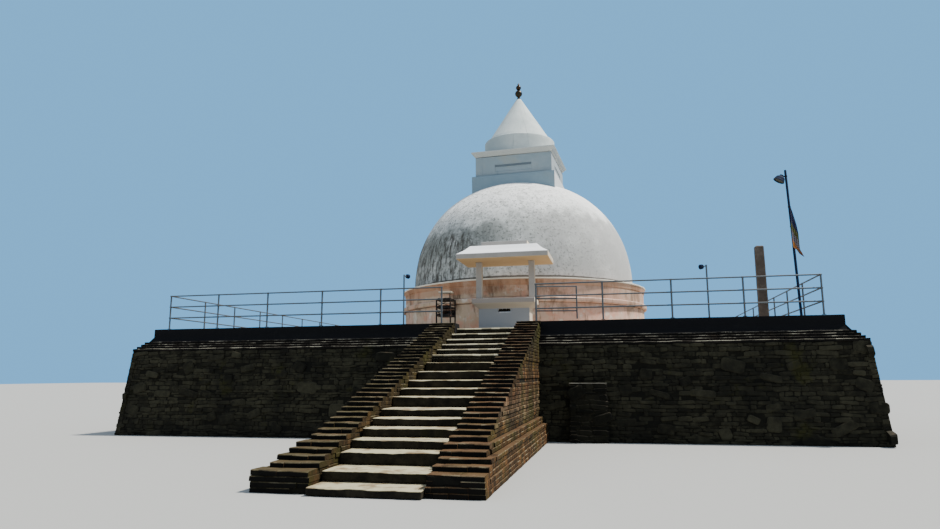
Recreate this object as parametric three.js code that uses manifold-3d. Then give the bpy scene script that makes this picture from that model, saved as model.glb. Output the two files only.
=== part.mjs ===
// A white-domed stupa on a walled stone terrace, reached by one flight of steps.
// Units are millimetres, +Z is up. The origin is on the dome's axis at ground level,
// +Y points away from the stair and +X to its right as one walks up.
import * as THREE from "three";
import { mergeVertices } from "three/addons/utils/BufferGeometryUtils.js";
import Module from "manifold-3d";

const wasm = await Module();
wasm.setup();

// Joint left where one cut piece meets its neighbour
const GAP = 0.4;

// Terrace: kerb faces in plan, and levels above the ground
const TERRACE = { left: -10250, right: 8930, front: -7540, back: 8500 };
const KERB_WIDTH = 550;
const KERB_TOP_Z = 3090;
const FLOOR_Z = 2920;
const FLOOR_THICK = 180;
const RUBBLE_TOP_Z = 2410;
const KERB_FACE_FOOT_Z = 2840;
const KERB_SKIRT = { offset: 110, z: 2690 };
const CORBEL = { outs: [76, 72, 68, 64], high: 70 };
const RUBBLE_FOOT_OFFSET = 620;
const RUBBLE_TOP_OFFSET = KERB_SKIRT.offset + CORBEL.outs.reduce((sum, out) => sum + out);

// Low buttress against the front wall, right of the stair
const BUTTRESS = { x0: 2250, x1: 3190, top: 1460, out: 160, batter: 30 };

// Stair: the front edge of each tread from the bottom up, and the height of its top
const STAIR_HALF = 850;
const NOSING_Y = [-16460, -15940, -15270, -14830, -14330, -13870, -13410, -12760, -12290,
  -11750, -11130, -10480, -9860, -9430, -8910, -8440, -7880, -7310];
const TREAD_Z = [130, 290, 490, 630, 780, 920, 1060, 1260, 1410,
  1570, 1760, 1960, 2150, 2290, 2440, 2590, 2760, 2940];
const STONE_STEPS = 12;
const STEP_LAP = 80;
const STEP_JOINT = 2;

// Brick parapets either side of the stair. The lowest courses stand proud as a plinth,
// by these amounts at the front and at the outer side
const PARAPET = {
  inner: 850, outer: 1500, frontY: -16200, backInset: 200,
  course: 79, baseCourses: 4, setback: 244, steps: 35,
};
const PLINTH = {
  front: [120, 120, 100, 100, 40, 40, 80, 80],
  left: [310, 310, 310, 310, 170, 170, 80, 80],
  right: [220, 220, 220, 190, 190, 190, 80, 80],
};

// Pipe railing on the kerb
const RAIL = { radius: 20, postRadius: 24, heights: [333, 667, 1000], sides: 6 };
const RAIL_FRONT_Y = -7440;
const RAIL_LEFT_X = -9810;
const RAIL_RIGHT_X = 8490;
const RAIL_BACK_Y = 8400;
const LEFT_POSTS_X = [-1256, -3050, -4840, -6570, -8190, RAIL_LEFT_X];
const RIGHT_POSTS_X = [1375, 3145, 4900, 6660, RAIL_RIGHT_X];
const SIDE_BAYS = 9;
const BACK_BAYS = 10;

// Gate leaf hung behind the right end post, folded back along the railing
const LEAF = { x: 1375, y: RAIL_FRONT_Y + 75, length: 1100, drop: 40, openAngle: 13, footGap: 60 };
const LEAF_PIPE = { radius: 17, stileRadius: 20 };
const LUG = { thick: 10, half: 26 };

// Drum under the dome: a plain wall, a moulding half way up and a cornice that projects
const DRUM = { radius: 4480, seg: 56, rimZ: 4735 };
const MOULDING = { radius: 4580, z0: 3940, z1: 4120, round: 35 };
const CORNICE = { soffitZ: 4520, soffitRadius: 4500, rimRadius: 4560, lipZ: 4690 };

// Dome, slightly off the axis of the drum as it is built. It is fuller than an ellipse at its
// shoulders and flatter on top: the powers of its two half widths add up to one.
const DOME = { x: -16, radius: 4136, high: 4215, power: 2.2, rows: 13 };

// Square chamber above the dome, turned a little against the terrace
const CHAMBER_TURN = THREE.MathUtils.degToRad(-3.5);
const CHAMBER = {
  footZ: 8300, baseTopZ: 9070, baseHalf: 1580, bodyHalf: 1460,
  bodyTopZ: 9830, corniceHalf: 1600, topZ: 10030,
};
const CHAMBER_CORNICE = { step: 30, coveOut: 40, coveDrop: 80, lip: 55 };
const PANEL = { half: 690, z0: 9230, z1: 9490, deep: 30 };

// Round neck with a rounded rim, the cone that stands on it, and the finial
const SPIRE = {
  x: -30, neckRadius: 1380, neckTopZ: 10730, rim: 35,
  coneRadius: 1250, coneTopRadius: 105, coneTopZ: 12610, seg: 40,
};
const FINIAL = {
  stemRadius: 50, footRadius: 70, ballZ: 12850, ballRadius: 145,
  budZ: 13105, budRadius: 105, neck: 40, tipZ: 13310, seg: 12,
};

// Altar with a coved slab, in front of the drum, and the roof over it on two pillars
const ALTAR = {
  x: 245, y: -5600, halfW: 766, halfD: 330, blockTopZ: 3610,
  slabHalfW: 935, slabHalfD: 495, slabFootZ: 3750, slabTopZ: 3900,
};
const PILLAR = { half: 94, x: 263, spread: 800, y: -5680 };

// The roof's levels are half width, half depth and height above its soffit
const CANOPY = {
  x: 267, y: -5600, soffitZ: 5040,
  levels: [
    [1345, 805, 0], [1365, 825, 15], [1365, 825, 165],
    [1175, 650, 290], [1150, 625, 310], [1010, 480, 450],
    [730, 320, 470], [703, 300, 480], [703, 300, 600],
  ],
};

// Lamp posts, each with its place along the kerb and its top; each lamp looks at the dome
const LAMP_POSTS = [["left", -2440, 4525], ["right", 5832, 4480]];
const LAMP = {
  y: -7190, radius: 22, sides: 8, armDrop: 30, reach: 165, armRadius: 14,
  headRadius: 68, headLong: 90, headSides: 12,
};

// Tapering stone pillar on the terrace
const STONE = {
  x: 7490, y: -5490, half: 136, chamfer: 34, topZ: 5245, shoulderZ: 5195, topShare: 0.93, capShare: 0.66,
};

// Flagpole, leaning a little to the left; heights on it are measured up from its foot
const POLE = { x: 8285, y: -6200, lean: 1.44, radius: 34, sides: 12, high: 4270 };
const FLOOD = {
  x: -196, z: 3967, tilt: 33, mouthRadius: 150, rim: 20,
  shoulderRadius: 115, shoulderDeep: 115, capRadius: 55, deep: 190, seg: 16,
};
const FLOOD_ARM = { z: 4085, reach: 130, radius: 15 };
const FLAG = {
  thick: 90,
  outline: [
    [-28, 2080], [40, 2030], [105, 1900], [215, 1799], [125, 2020],
    [128, 2437], [104, 2709], [45, 3050], [6, 3240], [-30, 2600],
  ],
};

// Iron stand for oil lamps at the head of the stair: legs, trays and a cover plate
const STAND = {
  x: -1358, y: -6572, half: 227, halfD: 309, leg: 22, topZ: 3830,
  trays: [3340, 3570, 3800], trayThick: 20, inset: 4,
};
const STAND_COVER = { half: 205, halfD: 110, z: 4045, lap: 30, thick: 60, stemX: 118, stem: 13 };

// A material from its colour, roughness and metalness
function finish(color, roughness, metalness = 0) {
  return new THREE.MeshStandardMaterial({ color, roughness, metalness });
}

const MATERIALS = {
  rubble: finish(0x4a4438, 0.95),
  brick: finish(0x5a3d2c, 0.95),
  tread: finish(0xa79a7c, 0.9),
  earth: finish(0x6b5d48, 1.0),
  paving: finish(0x9a8f80, 0.95),
  pinkPlaster: finish(0xc79a86, 0.9),
  whitePlaster: finish(0xd9d9d2, 0.9),
  railPaint: finish(0x2f3f4c, 0.5, 0.3),
  darkMetal: finish(0x24262a, 0.55, 0.4),
  bronze: finish(0x4a3420, 0.45, 0.8),
  stone: finish(0x6a5a48, 0.95),
  flagCloth: finish(0x2b3564, 0.9),
};

const stupa = new THREE.Group();

// Adds one named piece to a group
function piece(name, geometry, material, parent = stupa) {
  const mesh = new THREE.Mesh(geometry, material);
  mesh.name = name;
  parent.add(mesh);
  return mesh;
}

// A box between two opposite corners
function block(x0, x1, y0, y1, z0, z1) {
  const geometry = new THREE.BoxGeometry(x1 - x0, y1 - y0, z1 - z0);
  geometry.translate((x0 + x1) / 2, (y0 + y1) / 2, (z0 + z1) / 2);
  return geometry;
}

// Position-only copy with shared corners
function merged(geometry) {
  const bare = geometry.index ? geometry.toNonIndexed() : geometry.clone();
  bare.deleteAttribute("normal");
  bare.deleteAttribute("uv");
  return mergeVertices(bare, 1e-3);
}

function toSolid(geometry) {
  const bare = merged(geometry);
  return new wasm.Manifold(new wasm.Mesh({
    numProp: 3,
    vertProperties: new Float32Array(bare.attributes.position.array),
    triVerts: new Uint32Array(bare.index.array),
  }));
}

function fromSolid(solid) {
  const mesh = solid.getMesh();
  const geometry = new THREE.BufferGeometry();
  geometry.setAttribute("position", new THREE.BufferAttribute(new Float32Array(mesh.vertProperties), 3));
  geometry.setIndex(new THREE.BufferAttribute(new Uint32Array(mesh.triVerts), 1));
  return geometry;
}

function union(geometries) {
  return fromSolid(geometries.map(toSolid).reduce((sum, next) => sum.add(next)));
}

function cut(geometry, ...tools) {
  return fromSolid(tools.map(toSolid).reduce((rest, tool) => rest.subtract(tool), toSolid(geometry)));
}

// A prism between two end sections; a section point is [offset, z], and each end
// says where in plan an offset lies
function run(section, startAt, endAt) {
  const outline = section.map(([offset, z]) => new THREE.Vector2(offset, z));
  if (THREE.ShapeUtils.isClockWise(outline)) {
    outline.reverse();
  }
  const count = outline.length;
  const positions = [];
  for (const place of [startAt, endAt]) {
    for (const point of outline) {
      const [x, y] = place(point.x);
      positions.push(x, y, point.y);
    }
  }
  const index = [];
  for (let i = 0; i < count; i += 1) {
    const next = (i + 1) % count;
    index.push(i, next, count + next, i, count + next, count + i);
  }
  for (const [a, b, c] of THREE.ShapeUtils.triangulateShape(outline, [])) {
    index.push(a, c, b, count + a, count + b, count + c);
  }
  const geometry = new THREE.BufferGeometry();
  geometry.setAttribute("position", new THREE.BufferAttribute(new Float32Array(positions), 3));
  geometry.setIndex(index);
  return outward(geometry);
}

// Turns the faces of a closed indexed mesh so that they point out
function outward(geometry) {
  const at = geometry.attributes.position;
  const order = geometry.index.array;
  const corner = (i) => new THREE.Vector3().fromBufferAttribute(at, order[i]);
  let volume = 0;
  for (let i = 0; i < order.length; i += 3) {
    volume += corner(i).dot(corner(i + 1).cross(corner(i + 2)));
  }
  if (volume < 0) {
    for (let i = 0; i < order.length; i += 3) {
      [order[i], order[i + 1]] = [order[i + 1], order[i]];
    }
  }
  return geometry;
}

// A side profile in the YZ plane, drawn out along X
function profileAlongX(points, x0, x1) {
  return run(points, (y) => [x0, y], (y) => [x1, y]);
}

// A solid of revolution about +Z; the profile is [radius, z] and starts and ends on the axis
function turned(profile, segments) {
  const geometry = new THREE.LatheGeometry(profile.map(([r, z]) => new THREE.Vector2(r, z)), segments);
  return geometry.rotateX(Math.PI / 2);
}

// A stack of square sections about +Z, given as [half width, z]
function squareStack(profile, turn = 0) {
  const geometry = turned(profile.map(([half, z]) => [half * Math.SQRT2, z]), 4);
  return geometry.rotateZ(Math.PI / 4 + turn);
}

// A stack of rectangles, given as [half width, half depth, z]
function rectangleStack(levels) {
  const positions = [];
  const index = [];
  for (const [w, d, z] of levels) {
    positions.push(-w, -d, z, w, -d, z, w, d, z, -w, d, z);
  }
  for (let level = 0; level < levels.length - 1; level += 1) {
    for (let side = 0; side < 4; side += 1) {
      const a = level * 4 + side;
      const b = level * 4 + ((side + 1) % 4);
      index.push(a, b, b + 4, a, b + 4, a + 4);
    }
  }
  const top = (levels.length - 1) * 4;
  index.push(0, 2, 1, 0, 3, 2, top, top + 1, top + 2, top, top + 2, top + 3);
  const geometry = new THREE.BufferGeometry();
  geometry.setAttribute("position", new THREE.BufferAttribute(new Float32Array(positions), 3));
  geometry.setIndex(index);
  return outward(geometry);
}

// A square shaft with chamfered edges; a level is [share of the half width, z]
function chamferedShaft(half, chamfer, levels) {
  const flat = half - chamfer;
  const corners = [
    [half, flat], [flat, half], [-flat, half], [-half, flat],
    [-half, -flat], [-flat, -half], [flat, -half], [half, -flat],
  ];
  const count = corners.length;
  const top = (levels.length - 1) * count;
  const positions = levels.flatMap(([share, z]) => corners.flatMap(([x, y]) => [x * share, y * share, z]));
  const index = [];
  for (let a = 0; a < top; a += 1) {
    const b = a % count === count - 1 ? a + 1 - count : a + 1;
    index.push(a, b, b + count, a, b + count, a + count);
  }
  for (let i = 1; i < count - 1; i += 1) {
    index.push(0, i + 1, i, top, top + i, top + i + 1);
  }
  const geometry = new THREE.BufferGeometry();
  geometry.setAttribute("position", new THREE.BufferAttribute(new Float32Array(positions), 3));
  geometry.setIndex(index);
  return outward(geometry);
}

// A straight round bar between two points
function bar(from, to, radius, sides = RAIL.sides) {
  const a = new THREE.Vector3(...from);
  const b = new THREE.Vector3(...to);
  const geometry = new THREE.CylinderGeometry(radius, radius, a.distanceTo(b), sides);
  const direction = b.clone().sub(a).normalize();
  const up = new THREE.Vector3(0, 1, 0);
  geometry.applyQuaternion(new THREE.Quaternion().setFromUnitVectors(up, direction));
  const middle = a.add(b).multiplyScalar(0.5);
  return geometry.translate(middle.x, middle.y, middle.z);
}

// Retaining walls and their copings
function wallSection() {
  return [
    [RUBBLE_FOOT_OFFSET, 0],
    [RUBBLE_TOP_OFFSET, RUBBLE_TOP_Z],
    [-KERB_WIDTH, RUBBLE_TOP_Z],
    [-KERB_WIDTH, 0],
  ];
}

function copingSection() {
  const points = [[-KERB_WIDTH, RUBBLE_TOP_Z], [RUBBLE_TOP_OFFSET, RUBBLE_TOP_Z]];
  let offset = RUBBLE_TOP_OFFSET;
  let z = RUBBLE_TOP_Z;
  for (const out of CORBEL.outs) {
    z += CORBEL.high;
    points.push([offset, z], [offset - out, z]);
    offset -= out;
  }
  points.push([0, KERB_FACE_FOOT_Z], [0, KERB_TOP_Z], [-KERB_WIDTH, KERB_TOP_Z]);
  return points;
}

const frontLeftCorner = (o) => [TERRACE.left - o, TERRACE.front - o];
const frontRightCorner = (o) => [TERRACE.right + o, TERRACE.front - o];
const backLeftCorner = (o) => [TERRACE.left - o, TERRACE.back + o];
const backRightCorner = (o) => [TERRACE.right + o, TERRACE.back + o];
const stairSide = (x) => (o) => [x, TERRACE.front - o];

const WALL_RUNS = [
  ["front_left", frontLeftCorner, stairSide(-STAIR_HALF)],
  ["front_right", stairSide(STAIR_HALF), frontRightCorner],
  ["right", frontRightCorner, backRightCorner],
  ["back", backRightCorner, backLeftCorner],
  ["left", backLeftCorner, frontLeftCorner],
];

function buildTerrace() {
  const inner = {
    x0: TERRACE.left + KERB_WIDTH, x1: TERRACE.right - KERB_WIDTH,
    y0: TERRACE.front + KERB_WIDTH, y1: TERRACE.back - KERB_WIDTH,
  };
  const fillTop = FLOOR_Z - FLOOR_THICK;
  piece("terrace_fill", block(inner.x0, inner.x1, inner.y0, inner.y1, 0, fillTop), MATERIALS.earth);
  piece("terrace_floor", block(inner.x0, inner.x1, inner.y0, inner.y1, fillTop, FLOOR_Z), MATERIALS.paving);
  for (const [side, start, end] of WALL_RUNS) {
    piece(`${side}_wall`, run(wallSection(), start, end), MATERIALS.rubble);
    piece(`${side}_coping`, run(copingSection(), start, end), MATERIALS.brick);
  }
}

// Plan offset of the rubble face at a height
function rubbleOffset(z) {
  return RUBBLE_FOOT_OFFSET + (RUBBLE_TOP_OFFSET - RUBBLE_FOOT_OFFSET) * z / RUBBLE_TOP_Z;
}

function buildButtress() {
  const backAt = (z) => TERRACE.front - rubbleOffset(z) - GAP;
  const front = TERRACE.front - RUBBLE_FOOT_OFFSET - BUTTRESS.out;
  const points = [
    [front, 0], [front + BUTTRESS.batter, BUTTRESS.top],
    [backAt(BUTTRESS.top), BUTTRESS.top], [backAt(0), 0],
  ];
  piece("wall_buttress", profileAlongX(points, BUTTRESS.x0, BUTTRESS.x1), MATERIALS.rubble);
}

// Stair: fill, stone treads, and the brick flight at the head
function buildStair() {
  const back = TERRACE.front + KERB_WIDTH;
  const last = NOSING_Y.length - 1;
  const firstBrick = STONE_STEPS;
  const core = [[NOSING_Y[1] + STEP_LAP, 0]];
  for (let i = 1; i < firstBrick; i += 1) {
    const bed = TREAD_Z[i - 1];
    core.push([NOSING_Y[i] + STEP_LAP, bed], [NOSING_Y[i + 1] + STEP_LAP, bed]);
  }
  const flightFoot = TREAD_Z[firstBrick - 1];
  core.push([NOSING_Y[firstBrick] + STEP_LAP, flightFoot], [back, flightFoot], [back, 0]);
  piece("stair_core", profileAlongX(core, -STAIR_HALF, STAIR_HALF), MATERIALS.earth);

  for (let i = 0; i < firstBrick; i += 1) {
    const foot = i === 0 ? 0 : TREAD_Z[i - 1];
    const rear = NOSING_Y[i + 1] + STEP_LAP;
    const half = STAIR_HALF - STEP_JOINT;
    const number = String(i + 1).padStart(2, "0");
    piece(`stone_step_${number}`, block(-half, half, NOSING_Y[i], rear, foot, TREAD_Z[i]), MATERIALS.tread);
  }

  const flight = [[NOSING_Y[firstBrick], flightFoot]];
  for (let i = firstBrick; i <= last; i += 1) {
    const rear = i === last ? back : NOSING_Y[i + 1];
    flight.push([NOSING_Y[i], TREAD_Z[i]], [rear, TREAD_Z[i]]);
  }
  flight.push([back, flightFoot]);
  piece("brick_steps", profileAlongX(flight, -STAIR_HALF, STAIR_HALF), MATERIALS.brick);
}

// Brick parapet: courses that step back up the slope, over a moulded plinth
function parapetFront(course) {
  return PARAPET.frontY + Math.max(0, course - PARAPET.baseCourses + 1) * PARAPET.setback;
}

// The front wall's outer face with a joint's gap before it, as a solid to cut with
function wallCutter() {
  const beyond = 500;
  const face = [[TERRACE.front - RUBBLE_FOOT_OFFSET - GAP, -beyond]];
  for (const [offset, z] of [[RUBBLE_FOOT_OFFSET, 0], ...copingSection().slice(1, -2)]) {
    face.push([TERRACE.front - offset - GAP, z + GAP]);
  }
  const inside = TERRACE.front + KERB_WIDTH;
  const above = KERB_TOP_Z + beyond;
  face.push([TERRACE.front - GAP, above], [inside, above], [inside, -beyond]);
  const halfWidth = PARAPET.outer + beyond;
  return profileAlongX(face, -halfWidth, halfWidth);
}

function buildParapet(side) {
  const back = TERRACE.front + PARAPET.backInset;
  const parts = [];
  for (let course = 0; course < PARAPET.baseCourses + PARAPET.steps; course += 1) {
    const frontOut = PLINTH.front[course] ?? 0;
    const sideOut = PLINTH[side][course] ?? 0;
    parts.push(block(
      PARAPET.inner, PARAPET.outer + sideOut,
      parapetFront(course) - frontOut, back,
      course * PARAPET.course, (course + 1) * PARAPET.course,
    ));
  }
  const solid = cut(union(parts), wallCutter());
  if (side === "left") {
    solid.scale(-1, 1, 1);
    outward(solid);
  }
  piece(`${side}_parapet`, solid, MATERIALS.brick);
}

// Railings: posts on the kerb, and three rails along them
function railingRun(posts, ends) {
  const topZ = KERB_TOP_Z + RAIL.heights.at(-1);
  const parts = posts.map(([x, y]) => bar([x, y, KERB_TOP_Z], [x, y, topZ], RAIL.postRadius));
  for (const height of RAIL.heights) {
    const z = KERB_TOP_Z + height;
    parts.push(bar([...ends[0], z], [...ends[1], z], RAIL.radius));
  }
  return parts;
}

// Lugs on the gate's post, one under the leaf and one over it
function hingeLugs() {
  const bottom = KERB_TOP_Z + LEAF.footGap;
  const top = KERB_TOP_Z + RAIL.heights.at(-1) - LEAF.drop;
  const lug = (z0, z1) => block(
    LEAF.x - LUG.half, LEAF.x + LUG.half, RAIL_FRONT_Y, LEAF.y + LUG.half, z0, z1,
  );
  return [lug(bottom - GAP - LUG.thick, bottom - GAP), lug(top + GAP, top + GAP + LUG.thick)];
}

function buildFrontRailings() {
  const left = LEFT_POSTS_X.map((x) => [x, RAIL_FRONT_Y]);
  const right = RIGHT_POSTS_X.map((x) => [x, RAIL_FRONT_Y]);
  const leftRun = railingRun(left, [left[0], left.at(-1)]);
  const rightRun = railingRun(right, [right[0], right.at(-1)]);
  piece("front_left_railing", union(leftRun), MATERIALS.railPaint);
  piece("front_right_railing", union([...rightRun, ...hingeLugs()]), MATERIALS.railPaint);
}

function buildSideRailing(side, x) {
  const clear = RAIL.postRadius + GAP;
  const pitch = (RAIL_BACK_Y - RAIL_FRONT_Y) / SIDE_BAYS;
  const posts = [];
  for (let bay = 1; bay < SIDE_BAYS; bay += 1) {
    posts.push([x, RAIL_FRONT_Y + bay * pitch]);
  }
  const parts = railingRun(posts, [[x, RAIL_FRONT_Y + clear], [x, RAIL_BACK_Y - clear]]);
  piece(`${side}_railing`, union(parts), MATERIALS.railPaint);
}

function buildBackRailing() {
  const pitch = (RAIL_RIGHT_X - RAIL_LEFT_X) / BACK_BAYS;
  const posts = [];
  for (let bay = 0; bay <= BACK_BAYS; bay += 1) {
    posts.push([RAIL_LEFT_X + bay * pitch, RAIL_BACK_Y]);
  }
  piece("back_railing", union(railingRun(posts, [posts[0], posts.at(-1)])), MATERIALS.railPaint);
}

// The leaf is drawn along +X from its hinge and then turned to where it stands
function buildGateLeaf() {
  const bottom = KERB_TOP_Z + LEAF.footGap;
  const top = KERB_TOP_Z + RAIL.heights.at(-1) - LEAF.drop;
  const parts = [0, LEAF.length].map((x) => bar([x, 0, bottom], [x, 0, top], LEAF_PIPE.stileRadius));
  for (const height of RAIL.heights) {
    const z = KERB_TOP_Z + height - LEAF.drop - LEAF_PIPE.radius;
    parts.push(bar([0, 0, z], [LEAF.length, 0, z], LEAF_PIPE.radius));
  }
  const leaf = piece("gate_leaf", union(parts), MATERIALS.railPaint);
  leaf.rotation.z = THREE.MathUtils.degToRad(LEAF.openAngle);
  leaf.position.set(LEAF.x, LEAF.y, 0);
}

// Drum and dome
function buildDrum() {
  const wall = [[0, FLOOR_Z], [DRUM.radius, FLOOR_Z], [DRUM.radius, MOULDING.z0], [0, MOULDING.z0]];
  piece("drum_wall", turned(wall, DRUM.seg), MATERIALS.pinkPlaster);
  const mouldInner = MOULDING.radius - MOULDING.round;
  const moulding = [
    [0, MOULDING.z0], [mouldInner, MOULDING.z0], [MOULDING.radius, MOULDING.z0 + MOULDING.round],
    [MOULDING.radius, MOULDING.z1 - MOULDING.round], [mouldInner, MOULDING.z1], [0, MOULDING.z1],
  ];
  piece("drum_moulding", turned(moulding, DRUM.seg), MATERIALS.pinkPlaster);
  const cornice = [
    [0, MOULDING.z1], [DRUM.radius, MOULDING.z1], [DRUM.radius, CORNICE.soffitZ],
    [CORNICE.soffitRadius, CORNICE.soffitZ], [CORNICE.rimRadius, CORNICE.lipZ],
    [CORNICE.rimRadius, DRUM.rimZ], [0, DRUM.rimZ],
  ];
  piece("drum_cornice", turned(cornice, DRUM.seg), MATERIALS.pinkPlaster);
}

function buildDome() {
  const profile = [[0, DRUM.rimZ]];
  for (let row = 0; row <= DOME.rows; row += 1) {
    const angle = (row / DOME.rows) * Math.PI / 2;
    const radius = row === DOME.rows ? 0 : DOME.radius * Math.cos(angle) ** (2 / DOME.power);
    profile.push([radius, DRUM.rimZ + DOME.high * Math.sin(angle) ** (2 / DOME.power)]);
  }
  const shell = turned(profile, DRUM.seg).translate(DOME.x, 0, 0);
  const pocketHalf = CHAMBER.baseHalf + GAP;
  const pocket = squareStack([
    [0, CHAMBER.footZ], [pocketHalf, CHAMBER.footZ], [pocketHalf, CHAMBER.topZ], [0, CHAMBER.topZ],
  ], CHAMBER_TURN);
  piece("dome", cut(shell, pocket), MATERIALS.whitePlaster);
}

// The chamber's base, its walls with one sunk panel a side, and its coved cornice
function buildChamber() {
  const base = squareStack([
    [0, CHAMBER.footZ], [CHAMBER.baseHalf, CHAMBER.footZ],
    [CHAMBER.baseHalf, CHAMBER.baseTopZ], [0, CHAMBER.baseTopZ],
  ], CHAMBER_TURN);
  piece("chamber_base", base, MATERIALS.whitePlaster);
  const walls = squareStack([
    [0, CHAMBER.baseTopZ], [CHAMBER.bodyHalf, CHAMBER.baseTopZ],
    [CHAMBER.bodyHalf, CHAMBER.bodyTopZ], [0, CHAMBER.bodyTopZ],
  ], CHAMBER_TURN);
  const panels = [0, 1, 2, 3].map((quarter) => {
    const outer = CHAMBER.bodyHalf + PANEL.deep;
    const panel = block(CHAMBER.bodyHalf - PANEL.deep, outer, -PANEL.half, PANEL.half, PANEL.z0, PANEL.z1);
    return panel.rotateZ(quarter * Math.PI / 2 + CHAMBER_TURN);
  });
  piece("chamber_walls", cut(walls, ...panels), MATERIALS.whitePlaster);
  const { step, coveOut, coveDrop, lip } = CHAMBER_CORNICE;
  const cornice = squareStack([
    [0, CHAMBER.bodyTopZ], [CHAMBER.bodyHalf, CHAMBER.bodyTopZ],
    [CHAMBER.bodyHalf + step, CHAMBER.bodyTopZ + step],
    [CHAMBER.corniceHalf - coveOut, CHAMBER.topZ - coveDrop],
    [CHAMBER.corniceHalf, CHAMBER.topZ - lip],
    [CHAMBER.corniceHalf, CHAMBER.topZ], [0, CHAMBER.topZ],
  ], CHAMBER_TURN);
  piece("chamber_cornice", cornice, MATERIALS.whitePlaster);
}

function buildSpire() {
  const neck = turned([
    [0, CHAMBER.topZ], [SPIRE.neckRadius, CHAMBER.topZ],
    [SPIRE.neckRadius, SPIRE.neckTopZ - SPIRE.rim], [SPIRE.neckRadius - SPIRE.rim, SPIRE.neckTopZ],
    [0, SPIRE.neckTopZ],
  ], SPIRE.seg);
  const cone = turned([
    [0, SPIRE.neckTopZ], [SPIRE.coneRadius, SPIRE.neckTopZ],
    [SPIRE.coneTopRadius, SPIRE.coneTopZ], [0, SPIRE.coneTopZ],
  ], SPIRE.seg);
  piece("spire_neck", neck.translate(SPIRE.x, 0, 0), MATERIALS.whitePlaster);
  piece("spire_cone", cone.translate(SPIRE.x, 0, 0), MATERIALS.whitePlaster);
}

// Finial: a ball and a bud on a short stem
function buildFinial() {
  const ball = (z, radius) => [-60, -25, 10, 45].map((degrees) => {
    const angle = THREE.MathUtils.degToRad(degrees);
    return [radius * Math.cos(angle), z + radius * Math.sin(angle)];
  });
  const budTop = FINIAL.budZ + FINIAL.budRadius;
  const finial = turned([
    [0, SPIRE.coneTopZ], [FINIAL.footRadius, SPIRE.coneTopZ],
    ...ball(FINIAL.ballZ, FINIAL.ballRadius), [FINIAL.stemRadius, FINIAL.ballZ + FINIAL.ballRadius],
    ...ball(FINIAL.budZ, FINIAL.budRadius), [FINIAL.stemRadius / 2, budTop],
    [FINIAL.stemRadius, budTop + FINIAL.neck], [0, FINIAL.tipZ],
  ], FINIAL.seg);
  piece("finial", finial.translate(SPIRE.x, 0, 0), MATERIALS.bronze);
}

// Altar, its two pillars and the roof over them
function buildAltar() {
  const altar = rectangleStack([
    [ALTAR.halfW, ALTAR.halfD, FLOOR_Z], [ALTAR.halfW, ALTAR.halfD, ALTAR.blockTopZ],
    [ALTAR.slabHalfW, ALTAR.slabHalfD, ALTAR.slabFootZ],
    [ALTAR.slabHalfW, ALTAR.slabHalfD, ALTAR.slabTopZ],
  ]);
  piece("altar", altar.translate(ALTAR.x, ALTAR.y, 0), MATERIALS.whitePlaster);
  for (const [side, sign] of [["left", -1], ["right", 1]]) {
    const x = PILLAR.x + sign * PILLAR.spread;
    const { half, y } = PILLAR;
    const post = block(x - half, x + half, y - half, y + half, ALTAR.slabTopZ, CANOPY.soffitZ);
    piece(`altar_pillar_${side}`, post, MATERIALS.whitePlaster);
  }
  const roof = rectangleStack(CANOPY.levels);
  piece("altar_roof", roof.translate(CANOPY.x, CANOPY.y, CANOPY.soffitZ), MATERIALS.whitePlaster);
}

// Lamp posts on the kerb, each with an arm and a round lamp turned to the dome
function buildLampPosts() {
  for (const [side, x, topZ] of LAMP_POSTS) {
    const away = Math.hypot(x, LAMP.y);
    const inward = (distance) => {
      const share = 1 - distance / away;
      return [x * share, LAMP.y * share, topZ - LAMP.armDrop];
    };
    const post = bar([x, LAMP.y, KERB_TOP_Z], [x, LAMP.y, topZ], LAMP.radius, LAMP.sides);
    const arm = bar(inward(0), inward(LAMP.reach), LAMP.armRadius);
    const half = LAMP.headLong / 2;
    const head = bar(inward(LAMP.reach - half), inward(LAMP.reach + half), LAMP.headRadius, LAMP.headSides);
    piece(`lamp_post_${side}`, union([post, arm, head]), MATERIALS.railPaint);
  }
}

function buildStonePillar() {
  const shaft = chamferedShaft(STONE.half, STONE.chamfer, [
    [1, FLOOR_Z], [STONE.topShare, STONE.shoulderZ], [STONE.capShare, STONE.topZ],
  ]);
  piece("stone_pillar", shaft.translate(STONE.x, STONE.y, 0), MATERIALS.stone);
}

// Flagpole with its floodlight, and the flag that hangs limp before it
function buildFlagpole() {
  const lean = THREE.MathUtils.degToRad(POLE.lean);
  const footLift = POLE.radius * Math.sin(lean) + GAP;
  const pole = new THREE.Group();
  pole.position.set(POLE.x, POLE.y, FLOOR_Z + footLift);
  pole.rotation.y = -lean;
  stupa.add(pole);
  const mast = turned([[0, 0], [POLE.radius, 0], [POLE.radius, POLE.high], [0, POLE.high]], POLE.sides);
  const arm = bar([0, 0, FLOOD_ARM.z], [-FLOOD_ARM.reach, 0, FLOOD_ARM.z], FLOOD_ARM.radius);
  const lamp = turned([
    [0, 0], [FLOOD.mouthRadius, 0], [FLOOD.mouthRadius, FLOOD.rim],
    [FLOOD.shoulderRadius, FLOOD.shoulderDeep], [FLOOD.capRadius, FLOOD.deep], [0, FLOOD.deep],
  ], FLOOD.seg);
  lamp.rotateY(THREE.MathUtils.degToRad(FLOOD.tilt)).translate(FLOOD.x, 0, FLOOD.z);
  piece("flagpole", union([mast, arm, lamp]), MATERIALS.darkMetal, pole);

  const flagBack = -POLE.radius - GAP;
  const flag = run(FLAG.outline, (x) => [x, flagBack - FLAG.thick], (x) => [x, flagBack]);
  piece("flag", flag, MATERIALS.flagCloth, pole);
}

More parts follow.
